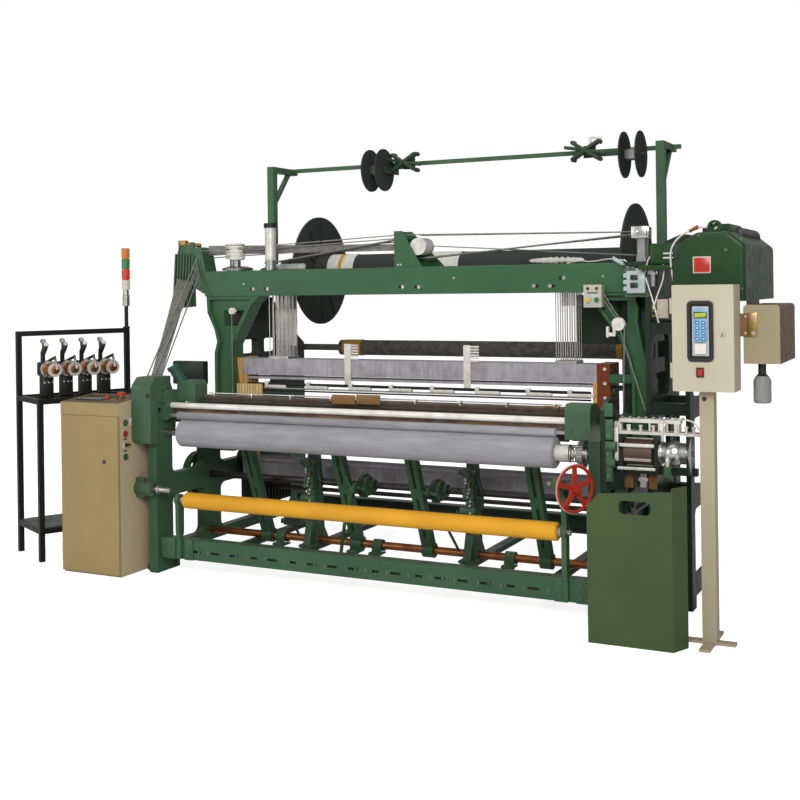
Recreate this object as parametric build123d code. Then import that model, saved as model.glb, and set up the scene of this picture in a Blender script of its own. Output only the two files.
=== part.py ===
from build123d import *
import math
import os


# Wire mesh weaving machine: a wide loom with an overhead lifting head, its
# control cabinet, weft feeder stand and guard. All sizes are in millimetres.
# X runs along the loom to the right, Y runs from the weaver's side to the back,
# Z is up and the floor is Z = 0 while the pieces are drawn.

# Driving dimensions
LOOM_LEFT = -1410.0        # outer face of the left side frame
LOOM_RIGHT = 1310.0        # outer face of the right side frame
SIDE_T = 60.0              # thickness of a cast side frame
SIDE_FRONT = -30.0         # front edge of the side frames
SIDE_REAR = 1650.0         # rear edge of the side frames
SIDE_TOP = 960.0           # top edge of the side frames
RAIL_Z0 = 90.0             # underside of the slotted front rail
RAIL_H = 115.0             # height of the front rail
RAIL_D = 70.0              # depth of the rail's flanges
SHEET_T = 8.0              # wall of rolled rails
CLOTH_X0 = -1227.0         # left end of the take-up roller's barrel
CLOTH_X1 = 1060.0          # right end of the take-up roller's barrel
TAKEUP_Y = 60.0
TAKEUP_Z = 812.0
TAKEUP_R = 79.0
PRESS_R = 22.0
PRESS_LEAN = 4.0           # degrees the press roller stands forward of the top of the take-up roller
CLOTH_ROLL_Y = -12.0
CLOTH_ROLL_Z = 435.0
CLOTH_ROLL_R = 46.0
TUBE_Y = 62.0              # polished breast tube
TUBE_Z = 972.0
TUBE_R = 17.0
ROCK_Y = 500.0             # rocking shaft of the sley
ROCK_Z = 157.0
ROCK_R = 22.0
SLEY_LEAN = 22.0           # degrees the swords lean forward at beat-up
SWORD_LEN = 820.0
SWORD_X = (-920.0, -310.0, 150.0, 850.0)
SLEY_SWING = 10.0          # degrees from beat-up to the back dead centre
CRANK_Y = 505.0
CRANK_Z = 500.0
CRANK_R = 20.0             # radius of the crank shaft
WRIST_DIST = 375.0         # wrist pin from the rocking shaft, along a sword
HEALD_Y = 622.0            # front face of the first heald frame
HEALD_PITCH = 38.0
HEALD_T = 18.0
HEALD_COUNT = 4
HEALD_X0 = -1190.0
HEALD_X1 = 1118.0
HEALD_TOP = 1215.0
HEALD_BOTTOM = 490.0
HEALD_LIFT = 45.0          # travel each way from the level position
ARCH_Y = 550.0             # front face of the arch beam
ARCH_D = 230.0
ARCH_Z0 = 1605.0
ARCH_H = 157.0
ARCH_X1 = 1325.0           # right end of the arch beam
ARCH_T = 12.0
LEG_T = 120.0              # depth of an arch leg
WARP_Y = 1500.0            # upper warp beam
WARP_Z = 1767.0
FLANGE_R = 368.0
FLANGE_T = 14.0
BARREL_R = 105.0
FLANGE_X0 = -1125.0
FLANGE_X1 = 1091.0
REST_Y = 1585.0            # back-rest roller
REST_Z = 1235.0
REST_R = 52.0
GANTRY_Z = 2400.0          # centre of the spool rail
GANTRY_Y = 950.0
GANTRY_S = 24.0            # half depth of the spool rail's section
SPOOL_R = 127.0
SPOOL_X = (-346.0, 1222.0) # first disc of each spool
SPOOL_W = 98.0             # between the outer faces of a spool's two discs
CAB_X0, CAB_X1 = -1900.0, -1478.0
CAB_Y0, CAB_Y1 = -220.0, 60.0
CAB_H = 1000.0
CAB_SEAM = CAB_H - 74.0    # top of the cabinet door
CAB_SHEET = 6.0
BOX_X0, BOX_X1 = 1697.0, 1973.0
BOX_Y0, BOX_Y1 = -170.0, -10.0
BOX_Z0, BOX_Z1 = 1156.0, 1640.0
DOOR_T = 14.0
POST_X0, POST_X1 = 1805.0, 1870.0
DOBBY_X0, DOBBY_X1 = 1652.0, 1991.0
DOBBY_Y0, DOBBY_Y1 = 30.0, 860.0
DOBBY_Z0, DOBBY_TOP = 1562.0, 1886.0
GUARD_X0, GUARD_X1 = 1322.0, 1716.0
GUARD_Y = -300.0
GUARD_T = 4.0
WHEEL_AT = (1223.0, -162.0, 678.0)   # hub centre of the hand wheel
WHEEL_R = 118.0
WHEEL_TURN = 59.0          # degrees its axis is turned from the front toward the right
STAND_AT = (-2530.0, 96.0) # rear corner post of the feeder stand
STAND_TURN = 62.5          # degrees the stand is turned in plan
STAND_L = 728.0
STAND_W = 384.0
STAND_HIGH = 1397.0
STAND_TABLE = 991.0
STAND_TUBE = 32.0
POLE_R = 19.0
POLE_TOP = 1932.0

# Clearances
RUN = 0.05                 # radial running clearance of a journal in its bore
SEAT = 0.3                 # gap left between curved faces of two bodies
SIDE_GAP = 2.0             # end clearance of a part that runs between two faces
SLIDE = 0.3                # clearance of a flat part in its groove or against its stop
FACE = 0.5                 # gap where an eccentric stands off the strap it drives

PRESS_Y = TAKEUP_Y - (TAKEUP_R + PRESS_R + SEAT) * math.sin(math.radians(PRESS_LEAN))
PRESS_Z = TAKEUP_Z + (TAKEUP_R + PRESS_R + SEAT) * math.cos(math.radians(PRESS_LEAN))
LEFT_IN = LOOM_LEFT + SIDE_T
RIGHT_IN = LOOM_RIGHT - SIDE_T
ARCH_X0 = LOOM_LEFT
ARCH_Z1 = ARCH_Z0 + ARCH_H
WRIST_Y = ROCK_Y - WRIST_DIST * math.sin(math.radians(SLEY_LEAN))
WRIST_Z = ROCK_Z + WRIST_DIST * math.cos(math.radians(SLEY_LEAN))
CRANK_THROW = WRIST_DIST * math.sin(math.radians(SLEY_SWING / 2))

nodes = {}


def block(x0, x1, y0, y1, z0, z1):
    """A rectangular solid between two corners."""
    return Pos((x0 + x1) / 2, (y0 + y1) / 2, (z0 + z1) / 2) * Box(x1 - x0, y1 - y0, z1 - z0)


def rod_x(y, z, radius, x0, x1):
    """A round bar along X."""
    return Pos((x0 + x1) / 2, y, z) * Rot(0, 90, 0) * Cylinder(radius, x1 - x0)


def rod_y(x, z, radius, y0, y1):
    """A round bar along Y."""
    return Pos(x, (y0 + y1) / 2, z) * Rot(90, 0, 0) * Cylinder(radius, y1 - y0)


def rod_z(x, y, radius, z0, z1):
    """A round bar along Z."""
    return Pos(x, y, (z0 + z1) / 2) * Cylinder(radius, z1 - z0)


def bar(start, end, width, depth=0.0):
    """A straight bar between two points: round, or width by depth if depth is given."""
    a, b = Vector(*start), Vector(*end)
    axis = b - a
    side = Vector(0, 0, 1).cross(axis)
    if side.length < 1e-6:
        side = Vector(1, 0, 0)
    place = Plane(origin=a, x_dir=side.normalized(), z_dir=axis.normalized())
    section = place * Rectangle(width, depth) if depth else place * Circle(width / 2)
    return extrude(section, amount=axis.length, dir=axis.normalized())


def plane_x(x):
    """The plane across X: drawn with Y to the right and Z up."""
    return Plane(origin=(x, 0, 0), x_dir=(0, 1, 0), z_dir=(1, 0, 0))


def plane_y(y):
    """The plane across Y: drawn with X to the right and Z up, its normal to the front."""
    return Plane(origin=(0, y, 0), x_dir=(1, 0, 0), z_dir=(0, -1, 0))


def across_x(sketch, x0, x1):
    """A sketch of Y and Z, thick from x0 to x1."""
    return extrude(plane_x(x0) * sketch, amount=x1 - x0, dir=(1, 0, 0))


def across_y(sketch, y0, y1):
    """A sketch of X and Z, thick from y0 to y1."""
    return extrude(plane_y(y1) * sketch, amount=y1 - y0, dir=(0, -1, 0))


def outline(points, radius=0.0):
    """A closed outline through points, with every corner rounded."""
    shape = make_face(Polyline(*points, close=True))
    return fillet(shape.vertices(), radius) if radius else shape


def window(a0, a1, b0, b1, radius):
    """A rounded rectangular opening between two corners of a sketch."""
    return Pos((a0 + a1) / 2, (b0 + b1) / 2) * RectangleRounded(a1 - a0, b1 - b0, radius)


def together(pieces):
    """Several solids of one node, kept as one compound."""
    return Compound([solid for piece in pieces for solid in piece.solids()])


def keep(name, solid):
    """Files a finished piece under its name."""
    nodes[name] = solid


# Side frames
BAY_Y = ((120.0, 440.0), (610.0, 1040.0), (1130.0, 1530.0))
BAY_Z = ((150.0, 430.0), (560.0, 870.0))
WINDOW_R = 45.0
RIB_W = 16.0
RECESS = 18.0
FOOT_H = 45.0
FOOT_OUT = 60.0
BOSS_WALL = 26.0
JOURNAL_R = 20.0
BEARINGS = ((TAKEUP_Y, TAKEUP_Z, JOURNAL_R), (CRANK_Y, CRANK_Z, CRANK_R),
            (ROCK_Y, ROCK_Z, ROCK_R))


def side_frame(x0, outward):
    """One cast side frame with six windows, recessed webs, bearing bosses and two feet."""
    x1 = x0 + SIDE_T
    shape = outline([(SIDE_FRONT, 0), (SIDE_FRONT + 210, 0), (SIDE_FRONT + 210, FOOT_H),
                     (SIDE_FRONT + 150, RAIL_Z0), (SIDE_REAR - 150, RAIL_Z0),
                     (SIDE_REAR - 210, FOOT_H), (SIDE_REAR - 210, 0), (SIDE_REAR, 0),
                     (SIDE_REAR, SIDE_TOP), (SIDE_FRONT + 60, SIDE_TOP),
                     (SIDE_FRONT, SIDE_TOP - 70)])
    for y0, y1 in BAY_Y:
        for z0, z1 in BAY_Z:
            shape -= window(y0, y1, z0, z1, WINDOW_R)
    casting = across_x(shape, x0, x1)
    face = x0 if outward < 0 else x1 - RECESS
    posts = [SIDE_FRONT, BAY_Y[0][0], BAY_Y[0][1], BAY_Y[1][0], BAY_Y[1][1], BAY_Y[2][0],
             BAY_Y[2][1], SIDE_REAR]
    for left, right in zip(posts[0::2], posts[1::2]):
        for z0, z1 in BAY_Z:
            groove = window(left + RIB_W, right - RIB_W, z0, z1, RIB_W)
            casting -= across_x(groove, face, face + RECESS)
    for y0, y1 in BAY_Y:
        groove = window(y0, y1, BAY_Z[0][1] + RIB_W, BAY_Z[1][0] - RIB_W, RIB_W)
        casting -= across_x(groove, face, face + RECESS)
    for y, z, radius in BEARINGS:
        boss0 = x0 - 12 if outward < 0 else x0
        casting += rod_x(y, z, radius + BOSS_WALL, boss0, boss0 + SIDE_T + 12)
    for y, z, radius in BEARINGS:
        casting -= rod_x(y, z, radius + RUN, x0 - 20, x1 + 20)
    toe0 = x0 - FOOT_OUT if outward < 0 else x1
    for y in (SIDE_FRONT + 105, SIDE_REAR - 105):
        toe = Pos(toe0 + FOOT_OUT / 2, y, 14) * Box(FOOT_OUT, 130, 28)
        casting += fillet(toe.edges().filter_by(Axis.Z), 25)
    return casting


keep("left_side_frame", side_frame(LOOM_LEFT, -1))
keep("right_side_frame", side_frame(RIGHT_IN, 1))

# Front rail, a channel with slots along its web
SLOT_L, SLOT_H = 62.0, 14.0
SLOT_COUNT = 18
SLOT_Z = RAIL_Z0 + 48.0


def channel_y(x0, x1, y, z0, height, depth, wall, back):
    """A rolled channel along X whose web stands at y and whose flanges run to the back or front."""
    toward = 1 if back else -1
    web = [(y, z0), (y + toward * depth, z0), (y + toward * depth, z0 + wall),
           (y + toward * wall, z0 + wall), (y + toward * wall, z0 + height - wall),
           (y + toward * depth, z0 + height - wall), (y + toward * depth, z0 + height),
           (y, z0 + height)]
    return across_x(outline(web), x0, x1)


rail = channel_y(LEFT_IN, RIGHT_IN, 0.0, RAIL_Z0, RAIL_H, RAIL_D, SHEET_T, True)
slot_pitch = (RIGHT_IN - LEFT_IN - 300) / SLOT_COUNT
for count in range(SLOT_COUNT):
    slot_x = LEFT_IN + 190 + slot_pitch * (count + 0.5)
    slot = Pos(slot_x, SLOT_Z) * SlotOverall(SLOT_L, SLOT_H)
    rail -= across_y(slot, -5, SHEET_T + 5)
keep("front_rail", rail)

# Base ties: the rear rail and the fore-and-aft bars welded to it
TIE_X = (-1010.0, -600.0, 420.0, 960.0)
TIE_W, TIE_H = 60.0, 30.0
TIE_Z = RAIL_Z0 + SHEET_T
REAR_RAIL_Y = SIDE_REAR - 40.0
ties = channel_y(LEFT_IN, RIGHT_IN, REAR_RAIL_Y, RAIL_Z0, RAIL_H, RAIL_D, SHEET_T, False)
for x in TIE_X:
    ties += block(x - TIE_W / 2, x + TIE_W / 2, SHEET_T, REAR_RAIL_Y - SHEET_T,
                  TIE_Z, TIE_Z + TIE_H)
keep("base_ties", ties)

# Centre supports for the rocking shaft and the crank shaft
SUPPORT_X = (-600.0, 420.0)
SUPPORT_T = 46.0
SUPPORT_TOP = 690.0


def centre_support(x):
    """A cast upright that stands on a tie and holds the rocking and crank shafts."""
    base = TIE_Z + TIE_H
    shape = outline([(ROCK_Y - 110, base), (CRANK_Y + 130, base), (CRANK_Y + 70, base + 90),
                     (CRANK_Y + 52, CRANK_Z + 20), (CRANK_Y + 34, SUPPORT_TOP),
                     (CRANK_Y - 40, SUPPORT_TOP), (CRANK_Y - 52, CRANK_Z + 20),
                     (ROCK_Y - 60, base + 150)], 14)
    shape -= Pos(CRANK_Y, (CRANK_Z + ROCK_Z) / 2 + 15) * SlotOverall(190, 44, rotation=90)
    body = across_x(shape, x - SUPPORT_T / 2, x + SUPPORT_T / 2)
    flange = across_x(outline([(ROCK_Y - 120, base), (CRANK_Y + 140, base),
                               (CRANK_Y + 140, base + 14), (ROCK_Y - 120, base + 14)]),
                      x - TIE_W / 2 - 14, x + TIE_W / 2 + 14)
    body += flange
    body += rod_x(CRANK_Y, CRANK_Z, CRANK_R + BOSS_WALL, x - 36, x + 36)
    body += rod_x(ROCK_Y, ROCK_Z, ROCK_R + BOSS_WALL, x - 36, x + 36) & block(
        x - 60, x + 60, ROCK_Y - 80, ROCK_Y + 80, base, base + 300)
    body -= rod_x(CRANK_Y, CRANK_Z, CRANK_R + RUN, x - 60, x + 60)
    body -= rod_x(ROCK_Y, ROCK_Z, ROCK_R + RUN, x - 60, x + 60)
    body -= block(x - 90, x + 90, ROCK_Y - ROCK_R - RUN, ROCK_Y + ROCK_R + RUN, base - 1, ROCK_Z)
    return body


supports = together([centre_support(x) for x in SUPPORT_X])
keep("centre_supports", supports)

# Breast: a rusty beam, the polished tube and the end brackets that also hold the press roller
BREAST_Y0, BREAST_Y1 = 84.0, 134.0
BREAST_Z0, BREAST_Z1 = 905.0, 958.0
BRACKET_T = 46.0
RIGHT_BRACKET_X = 1120.0
keep("breast_beam", across_x(outline([(BREAST_Y0 + 12, BREAST_Z0), (BREAST_Y1, BREAST_Z0),
                                      (BREAST_Y1, BREAST_Z1), (BREAST_Y0 + 12, BREAST_Z1),
                                      (BREAST_Y0, BREAST_Z1 - 14), (BREAST_Y0, BREAST_Z0 + 14)]),
                             LEFT_IN, RIGHT_IN))


def breast_bracket(x0, x1):
    """A casting that seats the tube, the end of the press roller and the breast beam."""
    shape = outline([(10, 870), (40, 905), (PRESS_Y + 10, 905), (PRESS_Y + 15, BREAST_Z0 - 40),
                     (BREAST_Y1 + 60, BREAST_Z0 - 40), (BREAST_Y1 + 60, 1015), (120, 1060),
                     (30, 1060), (10, 1030)], 8)
    shape += Pos(PRESS_Y, PRESS_Z) * Circle(PRESS_R + 10)
    body = across_x(shape, x0, x1)
    body -= rod_x(TUBE_Y, TUBE_Z, TUBE_R, x0 - 5, x1 + 5)
    body -= rod_x(PRESS_Y, PRESS_Z, 10 + RUN, x0 - 5, x1 + 5)
    body -= block(x0 - 5, x1 + 5, BREAST_Y0, BREAST_Y1, BREAST_Z0, BREAST_Z1)
    body -= rod_x(TAKEUP_Y, TAKEUP_Z, TAKEUP_R + 6, x0 - 5, x1 + 5)
    return body


left_bracket = breast_bracket(LEFT_IN, LEFT_IN + BRACKET_T)
right_bracket = breast_bracket(RIGHT_BRACKET_X, RIGHT_IN)
keep("breast_brackets", together([left_bracket, right_bracket]))
keep("breast_tube", rod_x(TUBE_Y, TUBE_Z, TUBE_R, LEFT_IN, RIGHT_BRACKET_X + 60)
     - rod_x(TUBE_Y, TUBE_Z, TUBE_R - 3, LEFT_IN - 5, RIGHT_BRACKET_X + 70))

# Take-up roller with its gear, and the press roller that rides on it
GEAR_TEETH = 28
GEAR_R = 70.0
GEAR_X0, GEAR_X1 = 1182.0, 1210.0


def gear_face(teeth, outer, root):
    """The outline of a spur gear with straight-flanked teeth."""
    points = []
    for tooth in range(teeth):
        for part, radius in ((-0.3, root), (-0.14, outer), (0.14, outer), (0.3, root)):
            angle = 2 * math.pi * (tooth + part) / teeth
            points.append((radius * math.cos(angle), radius * math.sin(angle)))
    return make_face(Polyline(*points, close=True))


roller = rod_x(TAKEUP_Y, TAKEUP_Z, TAKEUP_R, CLOTH_X0, CLOTH_X1)
roller = chamfer(roller.edges().filter_by(GeomType.CIRCLE), 6)
roller += rod_x(TAKEUP_Y, TAKEUP_Z, JOURNAL_R, LOOM_LEFT, LOOM_RIGHT)
roller += rod_x(TAKEUP_Y, TAKEUP_Z, 44, CLOTH_X1, CLOTH_X1 + 70)
roller += across_x(Pos(TAKEUP_Y, TAKEUP_Z) * gear_face(GEAR_TEETH, GEAR_R, GEAR_R - 9),
                   GEAR_X0, GEAR_X1)
roller += rod_x(TAKEUP_Y, TAKEUP_Z, 36, GEAR_X0 - 16, GEAR_X1 + 16)
keep("take_up_roller", roller)

press = rod_x(PRESS_Y, PRESS_Z, PRESS_R, CLOTH_X0 - 25, CLOTH_X1)
press += rod_x(PRESS_Y, PRESS_Z, 10, LEFT_IN + 2, RIGHT_BRACKET_X + 40)
keep("press_roller", press)

# Cloth roll and its curved posts on the front rail
POST_T = 26.0
CLOTH_POST_X = (CLOTH_X0 + 22, CLOTH_X1 + 62)
ROLL_X0, ROLL_X1 = -1158.0, 1090.0


def cloth_post(x):
    """A curved post bolted to the face of the front rail, with an eye for the roll's journal."""
    with BuildSketch() as sketch:
        with BuildLine():
            Polyline((-20, RAIL_Z0 + 4), (0, RAIL_Z0 + 4), (0, RAIL_Z0 + RAIL_H + 2), (14, 245),
                     (16, CLOTH_ROLL_Z - 30), (CLOTH_ROLL_Y + 26, CLOTH_ROLL_Z + 8),
                     (CLOTH_ROLL_Y - 26, CLOTH_ROLL_Z + 8), (-34, CLOTH_ROLL_Z - 60),
                     (-34, 250), (-20, 190), close=True)
        make_face()
    shape = sketch.sketch + Pos(CLOTH_ROLL_Y, CLOTH_ROLL_Z) * Circle(34)
    post = across_x(shape, x - POST_T / 2, x + POST_T / 2)
    return post - rod_x(CLOTH_ROLL_Y, CLOTH_ROLL_Z, 16 + RUN, x - POST_T, x + POST_T)


keep("cloth_brackets", together([cloth_post(x) for x in CLOTH_POST_X]))
roll = rod_x(CLOTH_ROLL_Y, CLOTH_ROLL_Z, CLOTH_ROLL_R, ROLL_X0, ROLL_X1)
roll = chamfer(roll.edges().filter_by(GeomType.CIRCLE), 7)
roll += rod_x(CLOTH_ROLL_Y, CLOTH_ROLL_Z, 16, CLOTH_POST_X[0] - 30, CLOTH_POST_X[1] + 30)
keep("cloth_roll", roll)

# Sley: rocking shaft, four double-bar swords and the sley beam with the reed
keep("rocking_shaft", rod_x(ROCK_Y, ROCK_Z, ROCK_R, LOOM_LEFT, LOOM_RIGHT))
SWORD_BAR = 26.0
SWORD_GAP = 16.0
SWORD_D = 50.0
WRIST_R = 12.0


def tilted(shape, turn=SLEY_LEAN):
    """Turns a piece drawn upright on the rocking shaft forward to its working lean."""
    return Pos(0, ROCK_Y, ROCK_Z) * Rot(turn, 0, 0) * shape


def sword(x):
    """One sword: a split clamp on the shaft and two parallel bars with spacers."""
    outer = SWORD_GAP / 2 + SWORD_BAR
    body = Pos(x, 0, 0) * Rot(0, 90, 0) * Cylinder(ROCK_R + 20, 2 * outer)
    body += block(x - outer, x + outer, -SWORD_D / 2, SWORD_D / 2, 0, 90)
    for toward in (-1, 1):
        inner = x + toward * SWORD_GAP / 2
        edge = x + toward * outer
        body += block(min(inner, edge), max(inner, edge), -SWORD_D / 2, SWORD_D / 2,
                      60, SWORD_LEN - 60)
    if x in SWORD_X[1:3]:
        body += Pos(x + outer / 2 + 30, 0, WRIST_DIST) * Rot(0, 90, 0) * Cylinder(
            WRIST_R, outer + 56)
    for z in (WRIST_DIST, SWORD_LEN - 90):
        body += block(x - outer, x + outer, -SWORD_D / 2, SWORD_D / 2, z - 30, z + 30)
    body += block(x - outer - 20, x + outer + 20, -SWORD_D / 2 - 8, SWORD_D / 2 + 8,
                  SWORD_LEN - 66, SWORD_LEN - 50)
    body -= Pos(x, 0, 0) * Rot(0, 90, 0) * Cylinder(ROCK_R, 4 * outer)
    return tilted(body)


RACE_X0, RACE_X1 = -1160.0, 1090.0
RACE_Z = SWORD_LEN - 50.0
RACE_H = 46.0
REED_H = 92.0
keep("sley_swords", together([sword(x) for x in SWORD_X]))
race = block(RACE_X0, RACE_X1, -48, 44, RACE_Z, RACE_Z + RACE_H)
race -= block(RACE_X0 - 5, RACE_X1 + 5, -20, 22, RACE_Z - 5, RACE_Z + RACE_H - 16)
race += block(RACE_X0, RACE_X1, 26, 38, RACE_Z + RACE_H, RACE_Z + RACE_H + REED_H)
race += block(RACE_X0, RACE_X1, 20, 44, RACE_Z + RACE_H + REED_H, RACE_Z + RACE_H + REED_H + 14)
race += Pos((RACE_X0 + RACE_X1) / 2, -34, RACE_Z + RACE_H + 5) * Rot(0, 90, 0) * Cylinder(
    9, RACE_X1 - RACE_X0)
keep("sley_beam", tilted(race))

# Crank shaft with its eccentrics and drive wheel, and the two straps that rock the sley
ROD_X = (SWORD_X[1] + 62.0, SWORD_X[2] + 62.0)
ROD_T = 26.0
STRAP_WALL = 12.0
STRAP_IN = CRANK_R + CRANK_THROW + 3.0
WEB_T = 22.0
PIN_Y = CRANK_Y - CRANK_THROW
WHEEL_X0, WHEEL_X1 = LOOM_LEFT - 62.0, LOOM_LEFT - 18.0
DRIVE_R = 135.0


def connecting_rod(x):
    """A short rod: an eye on the sword's wrist pin and a ring strap beside the eccentric."""
    low = ROD_T / 2
    body = rod_x(PIN_Y, CRANK_Z, STRAP_IN + STRAP_WALL, x - low, x + low)
    body += bar((x, WRIST_Y, WRIST_Z), (x, PIN_Y, CRANK_Z), 20, 34)
    body += rod_x(WRIST_Y, WRIST_Z, 24, x - low, x + low)
    body -= rod_x(PIN_Y, CRANK_Z, STRAP_IN, x - low - 1, x + low + 1)
    return body - rod_x(WRIST_Y, WRIST_Z, WRIST_R + RUN, x - 40, x + 40)


keep("connecting_rods", together([connecting_rod(x) for x in ROD_X]))
crank = rod_x(CRANK_Y, CRANK_Z, CRANK_R, WHEEL_X0, LOOM_RIGHT + 20)
for x in ROD_X:
    disc0 = x + ROD_T / 2 + FACE
    crank += rod_x(PIN_Y, CRANK_Z, STRAP_IN, disc0, disc0 + WEB_T)
    crank += rod_x(CRANK_Y, CRANK_Z, 34, disc0, disc0 + WEB_T + 20)
wheel = Circle(DRIVE_R)
for count in range(5):
    spoke_gap = Rot(0, 0, 72 * count) * Pos(82, 0) * SlotOverall(74, 46, rotation=90)
    wheel -= spoke_gap
crank += across_x(Pos(CRANK_Y, CRANK_Z) * wheel, WHEEL_X0 + 8, WHEEL_X1 - 8)
crank += rod_x(CRANK_Y, CRANK_Z, DRIVE_R, WHEEL_X0, WHEEL_X1) - rod_x(
    CRANK_Y, CRANK_Z, DRIVE_R - 12, WHEEL_X0 - 1, WHEEL_X1 + 1)
keep("crank_shaft", crank)

# Heald frames with their harness cords
TOP_RAIL_H = 100.0
LOW_RAIL_H = 78.0
STRUT_W = 40.0
CORD_S = 4.0
CORD_GROUPS = ((-984.0, -858.0), (872.0, 980.0))
CORD_COUNT = 5
CORD_UP = ARCH_Z1 - ARCH_T - HEALD_LIFT - 12.0
GUIDE_DEEP = 14.0


def heald_frame(number):
    """One heald frame: aluminium rails, wooden side struts, heddle bars and lifting cords."""
    y0 = HEALD_Y + number * HEALD_PITCH
    y1 = y0 + HEALD_T
    body = block(HEALD_X0, HEALD_X1, y0, y1, HEALD_TOP - TOP_RAIL_H, HEALD_TOP)
    body += block(HEALD_X0, HEALD_X1, y0, y1, HEALD_BOTTOM, HEALD_BOTTOM + LOW_RAIL_H)
    for x in (HEALD_X0, HEALD_X1 - STRUT_W):
        body += block(x, x + STRUT_W, y0 + 1, y1 - 1, HEALD_BOTTOM + LOW_RAIL_H,
                      HEALD_TOP - TOP_RAIL_H)
    for z in (HEALD_TOP - TOP_RAIL_H - 26, HEALD_BOTTOM + LOW_RAIL_H + 14):
        body += block(HEALD_X0 + STRUT_W, HEALD_X1 - STRUT_W, y0 + 7, y0 + 11, z, z + 14)
    for first, last in CORD_GROUPS:
        body += block(first - 8, last + 8, y0 + 4, y1 - 4, HEALD_TOP, HEALD_TOP + 16)
        for cord in range(CORD_COUNT):
            x = first + (last - first) * cord / (CORD_COUNT - 1)
            body += block(x - CORD_S / 2, x + CORD_S / 2, y0 + HEALD_T / 2 - CORD_S / 2,
                          y0 + HEALD_T / 2 + CORD_S / 2, HEALD_TOP + 16, CORD_UP)
    return body


for number in range(HEALD_COUNT):
    keep(f"heald_frame_{number + 1}", heald_frame(number))

# Heald guides: grooved wooden blocks at both ends of the frames
GUIDE_Z0 = 925.0
GUIDE_BACK = HEALD_Y + HEALD_COUNT * HEALD_PITCH + 14.0
LEG_IN = -1214.0           # inner face of the left arch leg
RIGHT_GUIDE_X1 = 1178.0


def heald_guide(x0, x1, open_right):
    """A guide block with one groove for the end of each heald frame."""
    body = block(x0, x1, HEALD_Y - 14, GUIDE_BACK, GUIDE_Z0, HEALD_TOP + 5)
    for number in range(HEALD_COUNT):
        y0 = HEALD_Y + number * HEALD_PITCH
        g0 = x1 - GUIDE_DEEP if open_right else x0
        body -= block(g0, g0 + GUIDE_DEEP, y0 - SLIDE, y0 + HEALD_T + SLIDE,
                      GUIDE_Z0 - 5, HEALD_TOP + 10)
    return body


left_guide = heald_guide(LEG_IN, HEALD_X0 - SIDE_GAP + GUIDE_DEEP, True)
right_guide = heald_guide(HEALD_X1 + SIDE_GAP - GUIDE_DEEP, RIGHT_GUIDE_X1, False)
keep("heald_guides", together([left_guide, right_guide]))

# Arch legs
LEG_Y0 = ARCH_Y + 10.0
LEG_Y1 = LEG_Y0 + LEG_T
LEG_POCKET = 24.0
LEG_FOOT_Z = 640.0


def inset_outline(points, wall):
    """The points moved inward by a wall's width, corner by corner."""
    moved = []
    for before, here, after in zip(points[-1:] + points[:-1], points, points[1:] + points[:1]):
        into = Vector(here[0] - before[0], here[1] - before[1]).normalized()
        out = Vector(after[0] - here[0], after[1] - here[1]).normalized()
        n1, n2 = Vector(-into.Y, into.X), Vector(-out.Y, out.X)
        middle = n1 + n2
        step = middle * (2 * wall / middle.dot(middle))
        moved.append((here[0] + step.X, here[1] + step.Y))
    return moved


def arch_leg(points, holes, wall):
    """A cast leg: a thick outline with a recessed web on its front and its openings."""
    body = across_y(outline(points), LEG_Y0, LEG_Y1)
    body -= across_y(outline(inset_outline(points, wall)), LEG_Y0, LEG_Y0 + LEG_POCKET)
    for hole in holes:
        body -= across_y(outline(hole), LEG_Y0 - 5, LEG_Y1 + 5)
    return body


left_leg = arch_leg([(LEFT_IN, LEG_FOOT_Z), (LEG_IN, LEG_FOOT_Z), (LEG_IN, 1300), (-1066, 1560),
                     (-1010, ARCH_Z0), (-1406, ARCH_Z0), (-1400, 1500), (LEFT_IN, 1400),
                     (LEFT_IN + 20, 1320), (LEFT_IN, 1250)],
                    [[(-1290, 1420), (-1190, 1420), (-1140, 1515), (-1290, 1515)]], 22)
right_leg = arch_leg([(LOOM_RIGHT, LEG_FOOT_Z), (1420, LEG_FOOT_Z), (1420, 1130), (1370, 1300),
                      (1345, 1450), (1350, 1520), (ARCH_X1, ARCH_Z0), (1070, ARCH_Z0),
                      (1100, 1560), (1240, 1370), (1290, 1250), (LOOM_RIGHT, 1130)],
                     [[(1175, 1560), (1285, 1560), (1285, 1440), (1262, 1440)]], 18)
right_leg += block(RIGHT_GUIDE_X1, 1322, LEG_Y0 + 30, LEG_Y0 + 66, 1120, 1166)
keep("left_arch_leg", left_leg)
keep("right_arch_leg", right_leg)

# Arch beam: an open-bottomed box over the heald frames, with cord pulleys inside
beam = block(ARCH_X0, ARCH_X1, ARCH_Y, ARCH_Y + ARCH_D, ARCH_Z0, ARCH_Z1)
beam = fillet(beam.edges().filter_by(Axis.X).group_by(Axis.Z)[-1], 10)
beam -= block(ARCH_X0 + 490, ARCH_X1 - 260, ARCH_Y + ARCH_T, ARCH_Y + ARCH_D - ARCH_T,
              ARCH_Z0 - 5, ARCH_Z1 - ARCH_T)
beam -= block(ARCH_X0 + 390, ARCH_X0 + 491, HEALD_Y - 20, ARCH_Y + ARCH_D - ARCH_T,
              ARCH_Z0 - 5, ARCH_Z1 - ARCH_T)
keep("arch_beam", beam)

# Warp beam uprights at the back of the side frames
UP_Y0, UP_Y1 = WARP_Y - 60.0, WARP_Y + 60.0
WING_Y0 = ARCH_Y + 150.0       # front edge of the casting, close behind the arch leg
WING_Y1 = 1240.0               # where its top edge drops to the upright
WING_TOP = ARCH_Z0 - 15.0
WING_BAYS = ((735.0, 850.0, 1408.0, 1504.0), (833.0, 1068.0, 1222.0, 1316.0),
             (780.0, 1290.0, 1010.0, 1140.0), (1130.0, 1330.0, 1222.0, 1316.0))


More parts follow.
